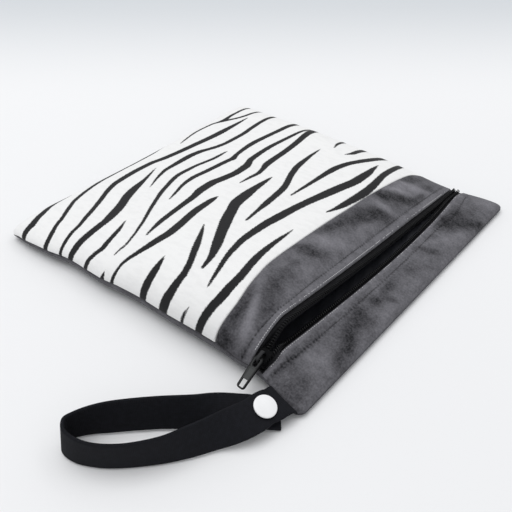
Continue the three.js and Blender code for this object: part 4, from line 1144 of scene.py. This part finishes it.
def strapFrame(station):
    # centre, width direction and face normal of the strip at each station
    centre, tangent = strapLine(station)
    lift = alongTable(np.arange(len(strapRows)), [row[3] for row in strapRows], station)
    lift = np.radians(lift)[:, None]
    level = unit(np.stack([tangent[:, 1], -tangent[:, 0], 0 * station], -1))
    width = level * np.cos(lift) + np.array([0, 0, 1.0]) * np.sin(lift)
    width = unit(width - np.sum(width * tangent, -1, keepdims=True) * tangent)
    return centre, width, unit(np.cross(width, tangent))


def makeStrap():
    # oblong section with soft edges carried along the strip; its root is widened a little and
    # sheared to follow the pouch's side
    size, last = strapSizes, len(strapRows) - 1
    station = np.linspace(0, last, last * size["samples"] + 1)
    centre, width, normal = strapFrame(station)
    halfThick = size["thick"] / 2
    straight = size["width"] / 2 - halfThick
    turn = np.linspace(-0.5, 0.5, 7) * np.pi
    right = np.stack([straight + halfThick * np.cos(turn), halfThick * np.sin(turn)], -1)
    level = np.linspace(1, -1, 13)[1:-1] * straight
    upper = np.stack([level, np.full_like(level, halfThick)], -1)
    section = np.concatenate([right, upper, -right, -upper])
    rings = swept(centre, width, normal, section)
    rooted = smooth(1.0, 0.0, station)[:, None]
    rings[..., 1] += rooted * (size["rootWiden"] * (rings[..., 1] - centre[:, None, 1]) - size["rootShift"])
    side = readTable(outlineRows, rings[..., 1])[0] + size["rootGap"]
    rings[..., 0] -= rooted * (rings[..., 0] + side)
    points, faces = tubeArrays(rings)
    length, girth = arcLength(centre, 0), arcLength(section, 0)
    flat = np.stack(np.broadcast_arrays(length[:, None], girth[None, :]), -1)
    fasten(makePiece("strap_strip", points, faces, "strap", None, flat), "strap")


makeStrap()

# Snap: profiles of radius and height, in the upper layer's frame
snapSizes = {"radius": 5.5, "post": 1.2, "gap": 0.45, "sides": 64, "ease": 0.2, "capThick": 1.25,
             "capCrown": 0.55, "backThick": 1.0, "backCrown": 0.15, "coreLess": 1.0, "coreBevel": 0.3,
             "stemHub": 0.05, "coreHub": 0.1}


def lathe(profile):
    # profile turned about its axis, closed by small flats at both ends
    ring = circle(snapSizes["sides"])
    return tubeArrays(np.stack([np.column_stack([ring * radius, np.full(len(ring), height)])
                                for radius, height in profile]))


def roundedDisc(low, high, radius, crown):
    # flat underside, quarter-round rim and a shallow dome
    turn = np.linspace(-0.5, 0.5, 9) * np.pi
    rim = (high - low) / 2
    edge = [(radius - rim + rim * math.cos(t), low + rim + rim * math.sin(t)) for t in turn]
    shares = (0.85, 0.65, 0.4, 0.1)
    return edge + [((radius - rim) * share, high + crown * (1 - share ** 2)) for share in shares]


def makeSnap():
    # cap and back are a stem and a rounded disc, the back turned over; the core fills the gap between
    # the layers
    size = snapSizes
    centre, _, normal = strapFrame(np.array([strapSizes["snapStation"], strapSizes["underStation"]], float))
    axis = normal[0]
    drop = float((centre[0] - centre[1]) @ axis)
    first = unit(np.cross([0.0, 1.0, 0.0], axis))
    turn = np.stack([first, np.cross(axis, first), axis])
    face = strapSizes["thick"] / 2
    seat = face + size["gap"]
    radius, post, ease, bevel = size["radius"], size["post"], size["ease"], size["coreBevel"]
    stem = [(size["stemHub"], -face), (post, -face), (post, seat - ease), (post + ease, seat)]
    cap = stem + roundedDisc(seat, seat + size["capThick"], radius, size["capCrown"])
    back = stem + roundedDisc(seat, seat + size["backThick"], radius, size["backCrown"])
    wide, low = radius - size["coreLess"], seat - drop
    core = [(size["coreHub"], low), (wide - bevel, low), (wide, low + bevel), (wide, -seat - bevel),
            (wide - bevel, -seat), (size["coreHub"], -seat)]
    for node, profile in (("snap_cap", cap), ("snap_core", core), ("snap_back", back)):
        points, faces = lathe(profile)
        if profile is back:
            points = points * [1, -1, -1] - [0, 0, drop]
        fasten(makePiece(f"{node}_resin", points @ turn + centre[0], faces, "snap"), node)


makeSnap()
print("snap made")

# Threads: the stitches and the pale lint on the lips; sizes in millimetres
threadSizes = {"rings": 5, "sides": 6, "taper": 0.85, "reach": 0.955, "steps": 4001, "ahead": 0.002,
               "behind": 0.3, "steep": (12.9898, 43758.5)}
frontLint = {"rows": "lipRows", "pitch": 1.3, "long": 0.95, "radius": 0.19, "sink": 0.1,
             "finish": "edgeThread"}
topLint = {**frontLint, "pitch": 1.4, "long": 0.9, "radius": 0.14}


def makeThreads(name, band, thread):
    # one short arched thread for each pitch along the row, laid on the cloth along its own direction;
    # a thread of lint shows where the fraction left by a steep sine is under its share
    size, pitch = threadSizes, thread["pitch"]
    s = np.linspace(-size["reach"], size["reach"], size["steps"])
    row = readTable(band[thread["rows"]], s * pouch["halfWidth"])[0]
    line, ahead = [band["face"](s, run, 0.0, bandFold(band, s, run)) for run in (row, row + size["ahead"])]
    length = arcLength(line, 0)
    at = np.arange(pitch, length[-1] - pitch, pitch)
    if thread["rows"] == "lipRows":
        chance = np.sin(at * size["steep"][0]) * size["steep"][1]
        at = at[chance - np.floor(chance) < readTable(band["lint"], np.interp(at, length, line[:, 0]))[0]]
    centre, beside = [columnsAt(at, length, points) for points in (line, ahead)]
    along = unit(centre - columnsAt(at - size["behind"], length, line))
    normal = unit(np.cross(along, unit(beside - centre)))
    normal = normal * np.sign(normal[:, 2:3])
    share = np.linspace(-1, 1, size["rings"])[:, None]
    width = thread["radius"] * np.sqrt(1 - size["taper"] * share ** 2)
    ring = circle(size["sides"])
    local = np.stack(np.broadcast_arrays(share * thread["long"] / 2, ring[:, 0] * width,
                                         ring[:, 1] * width - thread["sink"] * share ** 2), -1)
    basis = np.stack([along, np.cross(normal, along), normal], 1)
    threads = centre[:, None, None] + np.einsum("rck,nkd->nrcd", local, basis)
    points, faces = joined([tubeArrays(rings) for rings in threads])
    piece = makePiece(name, points, faces, thread["finish"])
    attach(piece, "root")


makeThreads("stitches_front", frontBand, stitch)
makeThreads("stitches_top", topBand, stitch)
makeThreads("lip_threads_front", frontBand, frontLint)
makeThreads("lip_threads_top", topBand, topLint)
print("stitches made")


# floor in metres: its tone goes from near to far along the heading, a painted shade darker towards the far
# side
floorShade = {"near": (0.815, 0.818, 0.827), "far": (0.59, 0.615, 0.64), "start": 0.17, "end": 0.46,
             "heading": 50.6, "half": 3.0, "z": -0.0003}


def makeFloor():
    # wide pale floor just under the pouch
    half, z = floorShade["half"], floorShade["z"]
    mesh = bpy.data.meshes.new("floor")
    corners = [(x * half, y * half, z) for x, y in ((-1, -1), (1, -1), (1, 1), (-1, 1))]
    mesh.from_pydata(corners, [], [(0, 1, 2, 3)])
    material, tree, shader = newMaterial("floor_paper", {"Roughness": 0.9, "Specular IOR Level": 0.1})
    place = addNode(tree, "ShaderNodeTexCoord").outputs["Object"]
    turn = math.radians(floorShade["heading"])
    inputs = {0: place, 1: (math.sin(turn), math.cos(turn), 0.0)}
    ahead = addNode(tree, "ShaderNodeVectorMath", inputs, operation="DOT_PRODUCT").outputs["Value"]
    # painted shade: the floor darkens from near to far along the heading
    share = addRange(tree, ahead, floorShade["start"], floorShade["end"])
    paint(tree, shader, share, floorShade["near"], floorShade["far"])
    mesh.materials.append(material)
    floor = addObject("floor", mesh)


# soft studio light: one large panel overhead, a smaller one behind, and an even surround
studio = {"surround": (0.975, 0.985, 1.0), "surroundStrength": 0.652, "panels": [
    {"place": (-0.45, 0.75, 2.2), "size": 2.2, "power": 33.5},
    {"place": (1.2, -0.5, 1.7), "size": 1.6, "power": 13.0},
]}


def makeLight():
    # each panel is square and faces the origin
    scene = bpy.context.scene
    scene.world = bpy.data.worlds.new("surround")
    scene.world.use_nodes = True
    back = scene.world.node_tree.nodes["Background"]
    back.inputs["Color"].default_value = (*studio["surround"], 1.0)
    back.inputs["Strength"].default_value = studio["surroundStrength"]
    for number, panel in enumerate(studio["panels"]):
        data = bpy.data.lights.new(f"panel_{number}", "AREA")
        data.energy = panel["power"]
        data.size = panel["size"]
        lamp = addObject(f"panel_{number}", data)
        lamp.location = panel["place"]
        x, y, z = unit(np.array(panel["place"]))
        lamp.rotation_euler = (math.acos(z), 0, math.atan2(-x, y))
    scene.view_settings.view_transform = "Standard"


makeFloor()
makeLight()
print("floor and light made")
